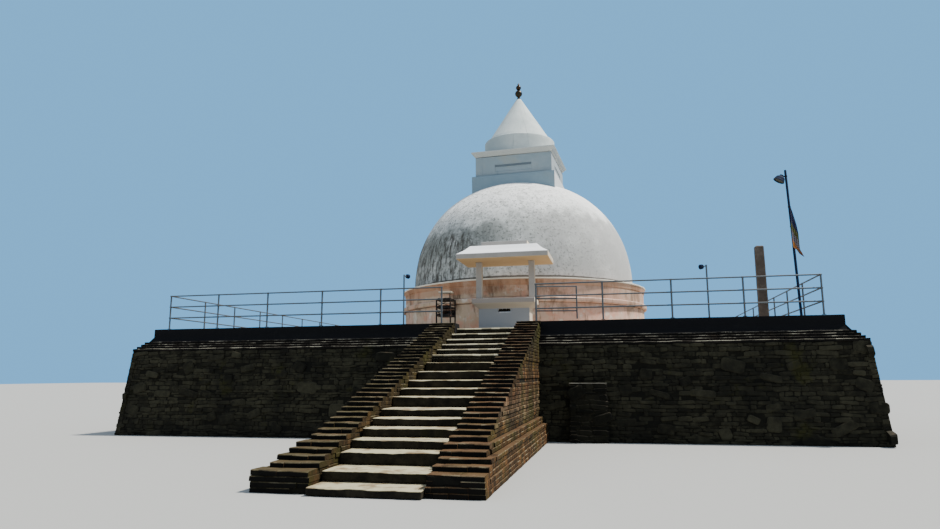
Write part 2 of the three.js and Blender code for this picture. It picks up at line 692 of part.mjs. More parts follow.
// Iron stand for oil lamps: four legs, three trays, and a cover plate on two stems
function buildLampStand() {
  const parts = [];
  const upright = (x, y, half, z0, z1) => block(x - half, x + half, y - half, y + half, z0, z1);
  for (const sx of [-1, 1]) {
    for (const sy of [-1, 1]) {
      const x = STAND.x + sx * (STAND.half - STAND.leg);
      const y = STAND.y + sy * (STAND.halfD - STAND.leg);
      parts.push(upright(x, y, STAND.leg, FLOOR_Z, STAND.topZ));
    }
    const stemX = STAND.x + sx * STAND_COVER.stemX;
    parts.push(upright(stemX, STAND.y, STAND_COVER.stem, STAND.trays.at(-1), STAND_COVER.z));
  }
  const plate = (halfW, halfD, z, thick) => block(
    STAND.x - halfW, STAND.x + halfW, STAND.y - halfD, STAND.y + halfD, z, z + thick,
  );
  for (const z of STAND.trays) {
    parts.push(plate(STAND.half - STAND.inset, STAND.halfD - STAND.inset, z, STAND.trayThick));
  }
  const coverZ = STAND_COVER.z - STAND_COVER.lap;
  parts.push(plate(STAND_COVER.half, STAND_COVER.halfD, coverZ, STAND_COVER.thick));
  piece("lamp_stand", union(parts), MATERIALS.darkMetal);
}

buildTerrace();
buildButtress();
buildStair();
buildParapet("left");
buildParapet("right");
buildFrontRailings();
buildSideRailing("left", RAIL_LEFT_X);
buildSideRailing("right", RAIL_RIGHT_X);
buildBackRailing();
buildGateLeaf();
buildDrum();
buildDome();
buildChamber();
buildSpire();
buildFinial();
buildAltar();
buildLampPosts();
buildStonePillar();
buildFlagpole();
buildLampStand();

export default stupa;
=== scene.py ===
"""Looks of a white-domed stupa on a walled stone terrace, built around its CAD frame.

Everything is in metres in the frame's own axes: +Z up, the stair comes up along +Y, and
the origin lies on the dome's axis at ground level.
"""

import logging
import math
from collections.abc import Callable, Iterable, Iterator, Sequence
from dataclasses import dataclass, field
from enum import Enum
from functools import partial
from itertools import chain

import bmesh
import bpy
import numpy as np
from bmesh.types import BMEdge, BMesh, BMVert
from bpy.types import Material, Node, NodeTree
from mathutils import Euler, Matrix, Vector, noise
from mathutils.bvhtree import BVHTree


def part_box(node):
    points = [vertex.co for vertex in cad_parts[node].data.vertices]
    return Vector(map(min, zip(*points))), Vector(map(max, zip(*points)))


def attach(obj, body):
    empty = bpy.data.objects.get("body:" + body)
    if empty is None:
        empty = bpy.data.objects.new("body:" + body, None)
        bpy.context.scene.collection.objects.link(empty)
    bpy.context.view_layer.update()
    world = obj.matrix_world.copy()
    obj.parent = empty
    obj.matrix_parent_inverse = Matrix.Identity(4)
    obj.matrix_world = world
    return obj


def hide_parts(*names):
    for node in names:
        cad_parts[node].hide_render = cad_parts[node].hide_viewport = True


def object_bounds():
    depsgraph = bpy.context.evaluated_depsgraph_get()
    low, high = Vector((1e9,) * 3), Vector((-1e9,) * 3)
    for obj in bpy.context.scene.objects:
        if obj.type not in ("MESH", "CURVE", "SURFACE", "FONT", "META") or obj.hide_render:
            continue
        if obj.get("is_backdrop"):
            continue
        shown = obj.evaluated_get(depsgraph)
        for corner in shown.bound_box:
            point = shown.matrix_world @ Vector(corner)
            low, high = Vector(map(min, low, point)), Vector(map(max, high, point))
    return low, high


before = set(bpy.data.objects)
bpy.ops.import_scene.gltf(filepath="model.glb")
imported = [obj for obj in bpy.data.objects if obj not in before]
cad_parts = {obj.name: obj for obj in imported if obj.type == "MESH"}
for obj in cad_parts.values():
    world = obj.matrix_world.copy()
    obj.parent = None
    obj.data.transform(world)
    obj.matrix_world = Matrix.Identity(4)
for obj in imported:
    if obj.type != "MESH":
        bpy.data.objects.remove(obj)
CAD_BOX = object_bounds()

log = logging.getLogger("stupa")

Pair = tuple[float, float]
Triple = tuple[float, float, float]
Line = tuple[Vector, Vector]
Socket = bpy.types.NodeSocket
Value = Socket | float
Thing = bpy.types.Object

UP = Vector((0.0, 0.0, 1.0))
SOCKETS = {float: "Float", int: "Int", tuple: "Vector", Thing: "Object", Material: "Material"}


class Body(Enum):
    """The two bodies that pieces ride on."""

    STUPA = "stupa"
    GATE = "gate_leaf"


class Side(Enum):
    """The outward direction of each side of the terrace."""

    FRONT = Vector((0.0, -1.0, 0.0))
    RIGHT = Vector((1.0, 0.0, 0.0))
    BACK = Vector((0.0, 1.0, 0.0))
    LEFT = Vector((-1.0, 0.0, 0.0))


# Node wiring


def enabled(sockets: Iterable[Socket], name: str) -> Socket:
    """Finds the socket in use among several of one name."""
    return next(s for s in sockets if s.name == name and s.enabled)


def add_inputs(tree: NodeTree, inputs: dict[str, object]) -> dict[str, str]:
    """Gives a node tree its named inputs.

    Args:
        tree: the tree.
        inputs: the first value of each input by name, or its type, with _ for a space.

    Returns:
        Each input's identifier by name.
    """
    keys = {}
    for title, value in inputs.items():
        kind = value if isinstance(value, type) else type(value)
        label, socket = title.replace("_", " "), f"NodeSocket{SOCKETS[kind]}"
        made = tree.interface.new_socket(name=label, in_out="INPUT", socket_type=socket)
        if kind is not value:
            made.default_value = value
        keys[title] = made.identifier
    return keys


class Wiring:
    """Adds and links the nodes of one shader or geometry tree."""

    def __init__(self, tree: NodeTree) -> None:
        """Keeps the tree that the nodes go into."""
        self.tree = tree

    def add(self, kind: str, feeds: dict[str | int, object] | None = None, **settings: object) -> Node:
        """Adds a node.

        Args:
            kind: the node's type name.
            feeds: values or sockets for its inputs, by name or index.
            **settings: the node's own properties.

        Returns:
            The new node.
        """
        node = self.tree.nodes.new(kind)
        for key, value in settings.items():
            setattr(node, key, value)
        for key, value in (feeds or {}).items():
            target = node.inputs[key] if isinstance(key, int) else enabled(node.inputs, key)
            if isinstance(value, Socket):
                self.tree.links.new(value, target)
            else:
                target.default_value = value
        return node

    def first(self, kind: str, feeds: dict[str | int, object] | None = None, **settings: object) -> Socket:
        """Adds a Geometry Nodes node and gives its first output."""
        return self.add(f"GeometryNode{kind}", feeds, **settings).outputs[0]

    def math(self, operation: str, a: Value, b: Value) -> Socket:
        """Combines two numbers by a Math node's operation."""
        return self.add("ShaderNodeMath", {0: a, 1: b}, operation=operation).outputs[0]

    def plus(self, a: Value, b: Value) -> Socket:
        """The sum of two numbers."""
        return self.math("ADD", a, b)

    def less(self, a: Value, b: Value) -> Socket:
        """The first number less the second."""
        return self.math("SUBTRACT", a, b)

    def times(self, a: Value, b: Value) -> Socket:
        """The product of two numbers."""
        return self.math("MULTIPLY", a, b)

    def vector(self, operation: str, a: Socket, b: Socket | Triple = (0, 0, 0)) -> Socket:
        """Combines two vectors by a Vector Math node's operation."""
        return self.add("ShaderNodeVectorMath", {0: a, 1: b}, operation=operation).outputs[0]

    def scaled(self, a: Socket, factor: Value) -> Socket:
        """A vector times a number."""
        return self.add("ShaderNodeVectorMath", {0: a, "Scale": factor}, operation="SCALE").outputs[0]

    def step(self, value: Socket, low: Value, high: Value) -> Socket:
        """A smooth step from 0 at low to 1 at high."""
        feeds = {"Value": value, "From Min": low, "From Max": high}
        return enabled(self.add("ShaderNodeMapRange", feeds, interpolation_type="SMOOTHSTEP").outputs, "Result")

    def noise(self, at: Socket, scale: Value, detail: float = 5.0, rough: float = 0.6) -> Socket:
        """Fractal noise between 0 and 1, with so many features in a metre and so many octaves."""
        feeds = {"Vector": at, "Scale": scale, "Detail": detail, "Roughness": rough}
        return self.add("ShaderNodeTexNoise", feeds).outputs[0]

    def stray(self, at: Socket, scale: Value, detail: float = 5.0) -> Socket:
        """Fractal noise between -0.5 and 0.5."""
        return self.less(self.noise(at, scale, detail), 0.5)

    def mix(self, factor: Value, a: Socket | Triple, b: Socket | Triple) -> Socket:
        """Mixes two colours.

        Args:
            factor: 0 gives the first and 1 the second.
            a: the first colour.
            b: the second colour.

        Returns:
            The mixed colour.
        """
        first, second = (c if isinstance(c, Socket) else (*c, 1.0) for c in (a, b))
        feeds = {"Factor": factor, "A": first, "B": second}
        return enabled(self.add("ShaderNodeMix", feeds, data_type="RGBA").outputs, "Result")

    def ramp(self, factor: Socket, stops: Sequence[tuple[float, Triple]], kind: str) -> Socket:
        """Turns a number into a colour.

        Args:
            factor: the number.
            stops: places from 0 to 1 and the colours there.
            kind: how the colours between them are found.

        Returns:
            The colour.
        """
        node = self.add("ShaderNodeValToRGB", {0: factor})
        node.color_ramp.interpolation = kind
        made = node.color_ramp.elements
        for stop, (at, tint) in zip(made, stops):
            stop.position, stop.color = at, (*tint, 1.0)
        for at, tint in stops[2:]:
            made.new(at).color = (*tint, 1.0)
        return node.outputs[0]

    def carried(self, name: str) -> Socket:
        """Reads a number that the mesh carries under a name."""
        return self.add("ShaderNodeAttribute", attribute_name=name).outputs["Fac"]

    def level(self, at: Socket) -> Socket:
        """The height of a place."""
        return self.add("ShaderNodeSeparateXYZ", {0: at}).outputs["Z"]

    def end(self, result: Socket) -> NodeTree:
        """Puts out a tree's one result and gives the finished tree."""
        self.tree.links.new(result, self.add("NodeGroupOutput").inputs[0])
        return self.tree


class EffectGroups:
    """Shader effects that several finishes share, each built once as a node group."""

    def __init__(self) -> None:
        """Builds every group."""
        self.patches, self.runs, self.facing = self._patches(), self._runs(), self._facing()
        self.flecks, self.band = self._flecks(), self._band()

    def _new(self, name: str, **inputs: float | Triple) -> tuple[Wiring, dict[str, Socket]]:
        """Starts a group that reads a place and some values and puts out one mask.

        Args:
            name: the group's name.
            **inputs: the first value of each input after the place.

        Returns:
            The wiring, and the inputs' sockets by name.
        """
        tree = bpy.data.node_groups.new(name, "ShaderNodeTree")
        add_inputs(tree, {"Vector": (0.0, 0.0, 0.0), **inputs})
        tree.interface.new_socket(name="Mask", in_out="OUTPUT", socket_type="NodeSocketFloat")
        wiring = Wiring(tree)
        return wiring, {socket.name: socket for socket in wiring.add("NodeGroupInput").outputs}

    def _patches(self) -> NodeTree:
        """Blotches with soft, broken edges, such as damp, lichen or old plaster."""
        w, i = self._new("Patches", Scale=1.0, Cover=0.5, Softness=0.1)
        broad = w.noise(i["Vector"], i["Scale"], 7.0, 0.62)
        edge = w.less(1.0, i["Cover"])
        return w.end(w.step(broad, w.less(edge, i["Softness"]), w.plus(edge, i["Softness"])))

    def _runs(self) -> NodeTree:
        """Rain streaks that run down a wall, or down the meridians of a round one."""
        w, i = self._new("Rain runs", Round=0.0, Radius=4.0, Across=5.0, Down=0.4, Cover=0.4)
        flat = w.vector("MULTIPLY", i["Vector"], (1.0, 1.0, 0.0))
        ring = w.scaled(w.vector("NORMALIZE", flat), i["Radius"])
        plan = w.add("ShaderNodeMix", {"Factor": i["Round"], "A": flat, "B": ring}, data_type="VECTOR")
        across = w.scaled(enabled(plan.outputs, "Result"), i["Across"])
        rise = w.scaled(w.vector("MULTIPLY", i["Vector"], (0.0, 0.0, 1.0)), i["Down"])
        fine = w.noise(w.vector("ADD", across, rise), 1.0, 6.0, 0.65)
        edge = w.less(1.0, i["Cover"])
        return w.end(w.step(fine, edge, w.plus(edge, 0.16)))

    def _facing(self) -> NodeTree:
        """Surfaces that face a direction, with an edge broken by noise."""
        w, i = self._new("Facing", Direction=(0.0, 0.0, 1.0), Start=0.3, End=0.8, Break=0.3, Scale=3.0)
        normal = w.add("ShaderNodeNewGeometry").outputs["Normal"]
        dot = w.add("ShaderNodeVectorMath", {0: normal, 1: i["Direction"]}, operation="DOT_PRODUCT")
        broken = w.times(w.stray(i["Vector"], i["Scale"]), i["Break"])
        return w.end(w.step(w.plus(dot.outputs["Value"], broken), i["Start"], i["End"]))

    def _flecks(self) -> NodeTree:
        """Small scattered spots, such as lichen, chips and soot."""
        w, i = self._new("Flecks", Scale=20.0, Size=0.3, Cover=0.5)
        at, scale = i["Vector"], i["Scale"]
        distance = w.add("ShaderNodeTexVoronoi", {"Vector": at, "Scale": scale}).outputs["Distance"]
        wobble = w.times(w.noise(at, w.times(scale, 2.0)), 0.4)
        spot = w.less(1.0, w.step(w.plus(distance, wobble), 0.1, i["Size"]))
        edge = w.less(1.0, i["Cover"])
        where = w.step(w.noise(at, w.times(scale, 0.12), 3.0), edge, w.plus(edge, 0.12))
        return w.end(w.times(spot, where))

    def _band(self) -> NodeTree:
        """A level band between two heights, with edges broken by noise."""
        w, i = self._new("Level band", Low=0.0, High=1.0, Fade=0.1, Break=0.0, Scale=2.0)
        broken = w.times(w.stray(i["Vector"], i["Scale"]), i["Break"])
        rise = w.plus(w.level(i["Vector"]), broken)
        entered = w.step(rise, w.less(i["Low"], i["Fade"]), i["Low"])
        left = w.step(rise, i["High"], w.plus(i["High"], i["Fade"]))
        return w.end(w.less(entered, left))


class Shade:
    """One material under construction: its wiring, its coordinates and its shader."""

    def __init__(self, name: str, groups: EffectGroups) -> None:
        """Starts a material with a bare Principled shader.

        Args:
            name: the material's name.
            groups: the shared effects.
        """
        self.material = bpy.data.materials.new(name)
        self.material.use_nodes = True
        self.groups = groups
        self.w = Wiring(self.material.node_tree)
        self.shader = next(n for n in self.w.tree.nodes if n.type == "BSDF_PRINCIPLED")
        self.at = self.w.add("ShaderNodeTexCoord").outputs["Object"]

    def effect(self, group: NodeTree, **feeds: object) -> Socket:
        """Places a shared effect at this material's coordinates and gives its mask."""
        return self.w.add("ShaderNodeGroup", {"Vector": self.at, **feeds}, node_tree=group).outputs[0]

    def patches(self, scale: float, cover: float, soft: float) -> Socket:
        """The mask of blotches of a size, a cover and a softness."""
        return self.effect(self.groups.patches, Scale=scale, Cover=cover, Softness=soft)

    def over(self, colour: Socket | Triple, paint: Triple, mask: Value, amount: float) -> Socket:
        """Lays a paint over a colour where a mask shows, at some strength."""
        return self.w.mix(self.w.times(mask, amount), colour, paint)

    def finish(self, colour: Socket, rough: Pair, height: Socket, depth: float, metal: float = 0.0) -> None:
        """Feeds the shader.

        Args:
            colour: the base colour.
            rough: roughness where the height is low and where it is high.
            height: the relief, from 0 to 1.
            depth: how deep the relief is, in metres.
            metal: how metallic the surface is.
        """
        links, inputs = self.w.tree.links, self.shader.inputs
        links.new(colour, inputs["Base Color"])
        gloss = self.w.add("ShaderNodeMapRange", {"Value": height, "To Min": rough[0], "To Max": rough[1]})
        links.new(enabled(gloss.outputs, "Result"), inputs["Roughness"])
        bump = self.w.add("ShaderNodeBump", {"Height": height, "Distance": depth, "Strength": 1.0})
        links.new(bump.outputs["Normal"], inputs["Normal"])
        inputs["Metallic"].default_value = metal
        inputs["Specular IOR Level"].default_value = 0.5 if metal else 0.1


# Finishes


@dataclass(frozen=True)
class MasonryFinish:
    """Stone or brick: a tone for each block, then soot, moss, lichen, worn tops and edges lightened with
    painted highlight, fronts darkened with soot and painted shade, and the sunny side lightened with painted
    sunlight.
    """

    name: str
    dark: Triple
    pale: Triple
    block_tone: float = 0.5
    soot: Triple = (0.005, 0.005, 0.0045)
    soot_cover: float = 0.45
    moss: Triple = (0.030, 0.030, 0.008)
    moss_cover: float = 0.36
    moss_scale: float = 1.1
    # Front faces darkened: soot, and painted shade.
    front_soot: float = 0.0
    front_paint: Triple = (0.004, 0.004, 0.0035)
    bands: tuple[tuple[float, Triple], ...] = ()
    band_high: float = 3.2
    # Tops and nosed edges lightened: wear and dust, and painted highlight.
    top: Triple = (0.30, 0.25, 0.17)
    top_amount: float = 0.5
    top_start: float = 0.4
    top_cover: float = 0.6
    top_stain: Triple = (0.20, 0.14, 0.08)
    top_stain_cover: float = 0.36
    edge: Triple = (0.55, 0.48, 0.36)
    edge_amount: float = 0.0
    edge_cover: float = 0.62
    grain: float = 22.0
    relief: float = 0.012

    def paint(self, s: Shade) -> None:
        """Fills the material under construction."""
        w = s.w
        mottle = w.noise(s.at, self.grain * 0.3, 8.0, 0.68)
        own = w.times(w.less(w.carried("shade"), 0.5), self.block_tone)
        share = w.step(w.plus(own, mottle), 0.15, 0.85)
        colour = w.mix(share, self.dark, self.pale)
        if self.bands:
            colour = self._banded(s, colour, share)
        colour = s.over(colour, self.soot, s.patches(0.8, self.soot_cover, 0.12), 0.75)
        colour = s.over(colour, self.moss, s.patches(self.moss_scale, self.moss_cover, 0.06), 0.55)
        lichen = s.effect(s.groups.flecks, Scale=self.grain, Size=0.5, Cover=0.45)
        colour = s.over(colour, self.pale, lichen, 0.45)
        # Painted shade: faces towards the front are darkened, with soot as well.
        if self.front_soot:
            front = s.effect(s.groups.facing, Direction=(0.0, -1.0, 0.0), Start=0.15, End=0.5, Break=0.25)
            colour = s.over(colour, self.front_paint, front, self.front_soot)
        fine = w.noise(s.at, self.grain * 2.2, 8.0, 0.7)
        height = w.plus(w.times(mottle, 0.6), w.times(fine, 0.4))
        s.finish(self._worn(s, colour), (0.82, 0.98), height, self.relief)

    def _worn(self, s: Shade, colour: Socket) -> Socket:
        """Lays the worn, stained tops and the rubbed edges over a colour, lighter with wear and with painted
        highlight.

        Args:
            s: the material under construction.
            colour: the colour so far.

        Returns:
            The colour with its worn parts.
        """
        w, start = s.w, self.top_start
        # Upward faces lightened: wear and dust, and painted highlight.
        top = s.effect(s.groups.facing, Start=start, End=start + 0.3, Break=0.4, Scale=7.0)
        shown = w.times(w.times(top, s.patches(2.6, self.top_cover, 0.09)), self.top_amount)
        worn = s.over(self.top, self.top_stain, s.patches(3.4, self.top_stain_cover, 0.1), 0.85)
        colour = w.mix(shown, colour, worn)
        if not self.edge_amount:
            return colour
        # Nosed edges lightened: rubbed wear, and painted highlight.
        rubbed_and_lit = w.times(w.carried("edge"), s.patches(3.1, self.edge_cover, 0.08))
        own = w.plus(0.12, w.times(w.carried("shade"), 0.88))
        return s.over(colour, self.edge, w.times(rubbed_and_lit, own), self.edge_amount)

    def _banded(self, s: Shade, colour: Socket, share: Socket) -> Socket:
        """Tints the sunny side in bands of height, broken up by streaks: the brick's weathered tints, lighter
        with painted sunlight.

        Args:
            s: the material under construction.
            colour: the colour so far.
            share: how pale each spot is.

        Returns:
            The tinted colour.
        """
        w = s.w
        rise = w.math("DIVIDE", w.plus(w.level(s.at), w.times(w.stray(s.at, 1.6, 4.0), 1.3)), self.band_high)
        tinted = w.mix(share, self.dark, w.ramp(rise, self.bands, "LINEAR"))
        tinted = s.over(tinted, self.soot, s.effect(s.groups.runs, Across=3.4, Down=0.4, Cover=0.6), 0.82)
        # Painted sunlight: only faces towards the key light get the lighter bands.
        sunny = s.effect(s.groups.facing, Direction=(1.0, 0.0, 0.0), Start=0.3, End=0.7, Break=0.2)
        return w.mix(sunny, colour, tinted)


class Mark(Enum):
    """The shapes that a mark on plaster can take."""

    WASH = "wash"
    PATCHES = "patches"
    RUNS = "runs"


@dataclass(frozen=True)
class PlasterMark:
    """One mark on plaster, weathering, painted light or painted shade, kept to one side or one band of height
    if asked.
    """

    mark: Mark
    paint: Triple
    amount: float
    scale: float = 1.0
    cover: float = 0.4
    soft: float = 0.08
    down: float = 0.5
    side: Triple | None = None
    turned: Pair = (0.2, 0.8)
    levels: Pair | None = None
    fade: float = 0.1
    ragged: float = 0.0

    def mask(self, s: Shade, radius: float) -> Value:
        """Where the stain shows.

        Args:
            s: the material under construction.
            radius: the radius of a round wall, or 0 for a flat one.

        Returns:
            The stain's mask.
        """
        found: Value = 1.0
        if self.mark is Mark.PATCHES:
            found = s.patches(self.scale, self.cover, self.soft)
        elif self.mark is Mark.RUNS:
            bend = {"Round": 1.0 if radius else 0.0, "Radius": radius or 1.0}
            found = s.effect(s.groups.runs, **bend, Across=self.scale, Down=self.down, Cover=self.cover)
        if self.side:
            turn = dict(zip(("Start", "End"), self.turned))
            side = s.effect(s.groups.facing, Direction=self.side, **turn, Break=0.35, Scale=1.2)
            found = s.w.times(found, side)
        if self.levels:
            ends = dict(zip(("Low", "High"), self.levels))
            found = s.w.times(found, s.effect(s.groups.band, **ends, Fade=self.fade, Break=self.ragged))
        return found


@dataclass(frozen=True)
class PlasterFinish:
    """Lime plaster: a mottled wash and, over it, each stain, painted light and painted shade, from the first
    laid to the last.
    """

    name: str
    wash: Triple
    stains_and_painted_light: tuple[PlasterMark, ...] = ()
    radius: float = 0.0
    relief: float = 0.006

    def paint(self, s: Shade) -> None:
        """Fills the material under construction."""
        w = s.w
        mottle = w.noise(s.at, 3.2, 9.0, 0.66)
        colour = w.mix(w.step(mottle, 0.25, 0.8), self.wash, tuple(c * 0.86 for c in self.wash))
        for stain in self.stains_and_painted_light:
            colour = s.over(colour, stain.paint, stain.mask(s, self.radius), stain.amount)
        height = w.plus(w.times(mottle, 0.7), w.times(w.noise(s.at, 38.0, 6.0, 0.65), 0.3))
        s.finish(colour, (0.72, 0.95), height, self.relief)


@dataclass(frozen=True)
class PaintedMetalFinish:
    """Painted or bare iron, with rust where it is chipped."""

    name: str
    tint: Triple
    rust: Triple = (0.12, 0.05, 0.025)
    rust_cover: float = 0.35
    gloss: Pair = (0.35, 0.7)
    metal: float = 0.3
    scale: float = 16.0

    def paint(self, s: Shade) -> None:
        """Fills the material under construction."""
        mottle = s.w.noise(s.at, self.scale, 6.0)
        colour = s.w.mix(mottle, self.tint, tuple(c * 0.7 for c in self.tint))
        colour = s.over(colour, self.rust, s.patches(self.scale * 0.7, self.rust_cover, 0.04), 0.8)
        s.finish(colour, self.gloss, mottle, 0.0015, self.metal)


@dataclass(frozen=True)
class PavingFinish:
    """Worn stone flags with sand in their joints."""

    name: str
    stone: Triple
    joint: Triple
    flag: float = 0.45

    def paint(self, s: Shade) -> None:
        """Fills the material under construction."""
        w = s.w
        wander = w.scaled(w.add("ShaderNodeTexNoise", {"Vector": s.at, "Scale": 1.5}).outputs[1], 0.12)
        flags = w.add("ShaderNodeTexBrick", {
            "Vector": w.vector("ADD", s.at, wander), "Scale": 1.0, "Brick Width": self.flag * 1.5,
            "Row Height": self.flag, "Mortar Size": 0.012, "Mortar Smooth": 0.6,
            "Color1": (*self.stone, 1.0), "Color2": (*(c * 0.8 for c in self.stone), 1.0),
            "Mortar": (*self.joint, 1.0),
        })
        mottle = w.noise(s.at, 4.0, 9.0, 0.7)
        colour = s.over(flags.outputs["Color"], self.joint, w.step(mottle, 0.45, 0.75), 0.6)
        s.finish(colour, (0.8, 0.97), w.less(w.times(mottle, 0.5), flags.outputs["Fac"]), 0.012)


@dataclass(frozen=True)
class StripedClothFinish:
    """Thin faded cloth in stripes that follow each other down the hanging flag."""

    name: str
    stripes: tuple[tuple[float, Triple], ...]

    def paint(self, s: Shade) -> None:
        """Fills the material under construction."""
        w = s.w
        stripes = w.ramp(w.carried("down"), self.stripes, "CONSTANT")
        tone = s.over(stripes, (0.35, 0.32, 0.27), w.step(w.noise(s.at, 9.0, 5.0), 0.5, 0.8), 0.35)
        weave = w.add("ShaderNodeTexWave", {"Vector": s.at, "Scale": 180.0, "Distortion": 1.5})
        s.shader.inputs["Sheen Weight"].default_value = 0.3
        s.finish(tone, (0.8, 0.95), weave.outputs["Fac"], 0.0006)


@dataclass(frozen=True)
class LampGlassFinish:
    """Dusty dark lamp glass."""

    name: str
    tint: Triple

    def paint(self, s: Shade) -> None:
        """Fills the material under construction."""
        dust = s.w.noise(s.at, 40.0, 4.0)
        s.finish(s.w.mix(dust, self.tint, tuple(c * 0.75 for c in self.tint)), (0.25, 0.5), dust, 0.0005)


wash, blotches, streaks = (partial(PlasterMark, mark) for mark in (Mark.WASH, Mark.PATCHES, Mark.RUNS))
LEFTWARD, RIGHTWARD, EAST = (-0.80, -0.60, 0.0), (0.80, -0.60, 0.0), (1.0, 0.0, 0.0)
UPWARD, DOWNWARD = (0.0, 0.0, 1.0), (0.0, 0.0, -1.0)
# Coping: nosed edges lightened with wear and painted highlight.
coping = partial(
    MasonryFinish, dark=(0.004, 0.0035, 0.003), pale=(0.016, 0.013, 0.010), soot_cover=0.55,
    edge_amount=1.0,
)
# Brick: fronts near-black with soot and painted shade; tops and nosed edges lightened with wear and painted
# highlight.
brick = partial(
    MasonryFinish, dark=(0.008, 0.005, 0.003), block_tone=0.16, soot=(0.014, 0.010, 0.005),
    moss=(0.040, 0.038, 0.008), moss_cover=0.45, moss_scale=0.7, front_soot=0.97, top_amount=0.65,
    edge=(0.20, 0.17, 0.105), edge_amount=0.8, edge_cover=0.48, relief=0.02,
)
# Steps: fronts darkened with soot and painted shade; tops and nosed edges lightened with wear and painted
# highlight.
tread = partial(
    MasonryFinish, dark=(0.012, 0.010, 0.007), block_tone=0.3, soot_cover=0.42, top=(0.42, 0.38, 0.245),
    top_amount=0.95, top_start=0.3, top_cover=0.84, top_stain=(0.19, 0.13, 0.07), top_stain_cover=0.45,
    edge_amount=1.0, grain=14.0,
)


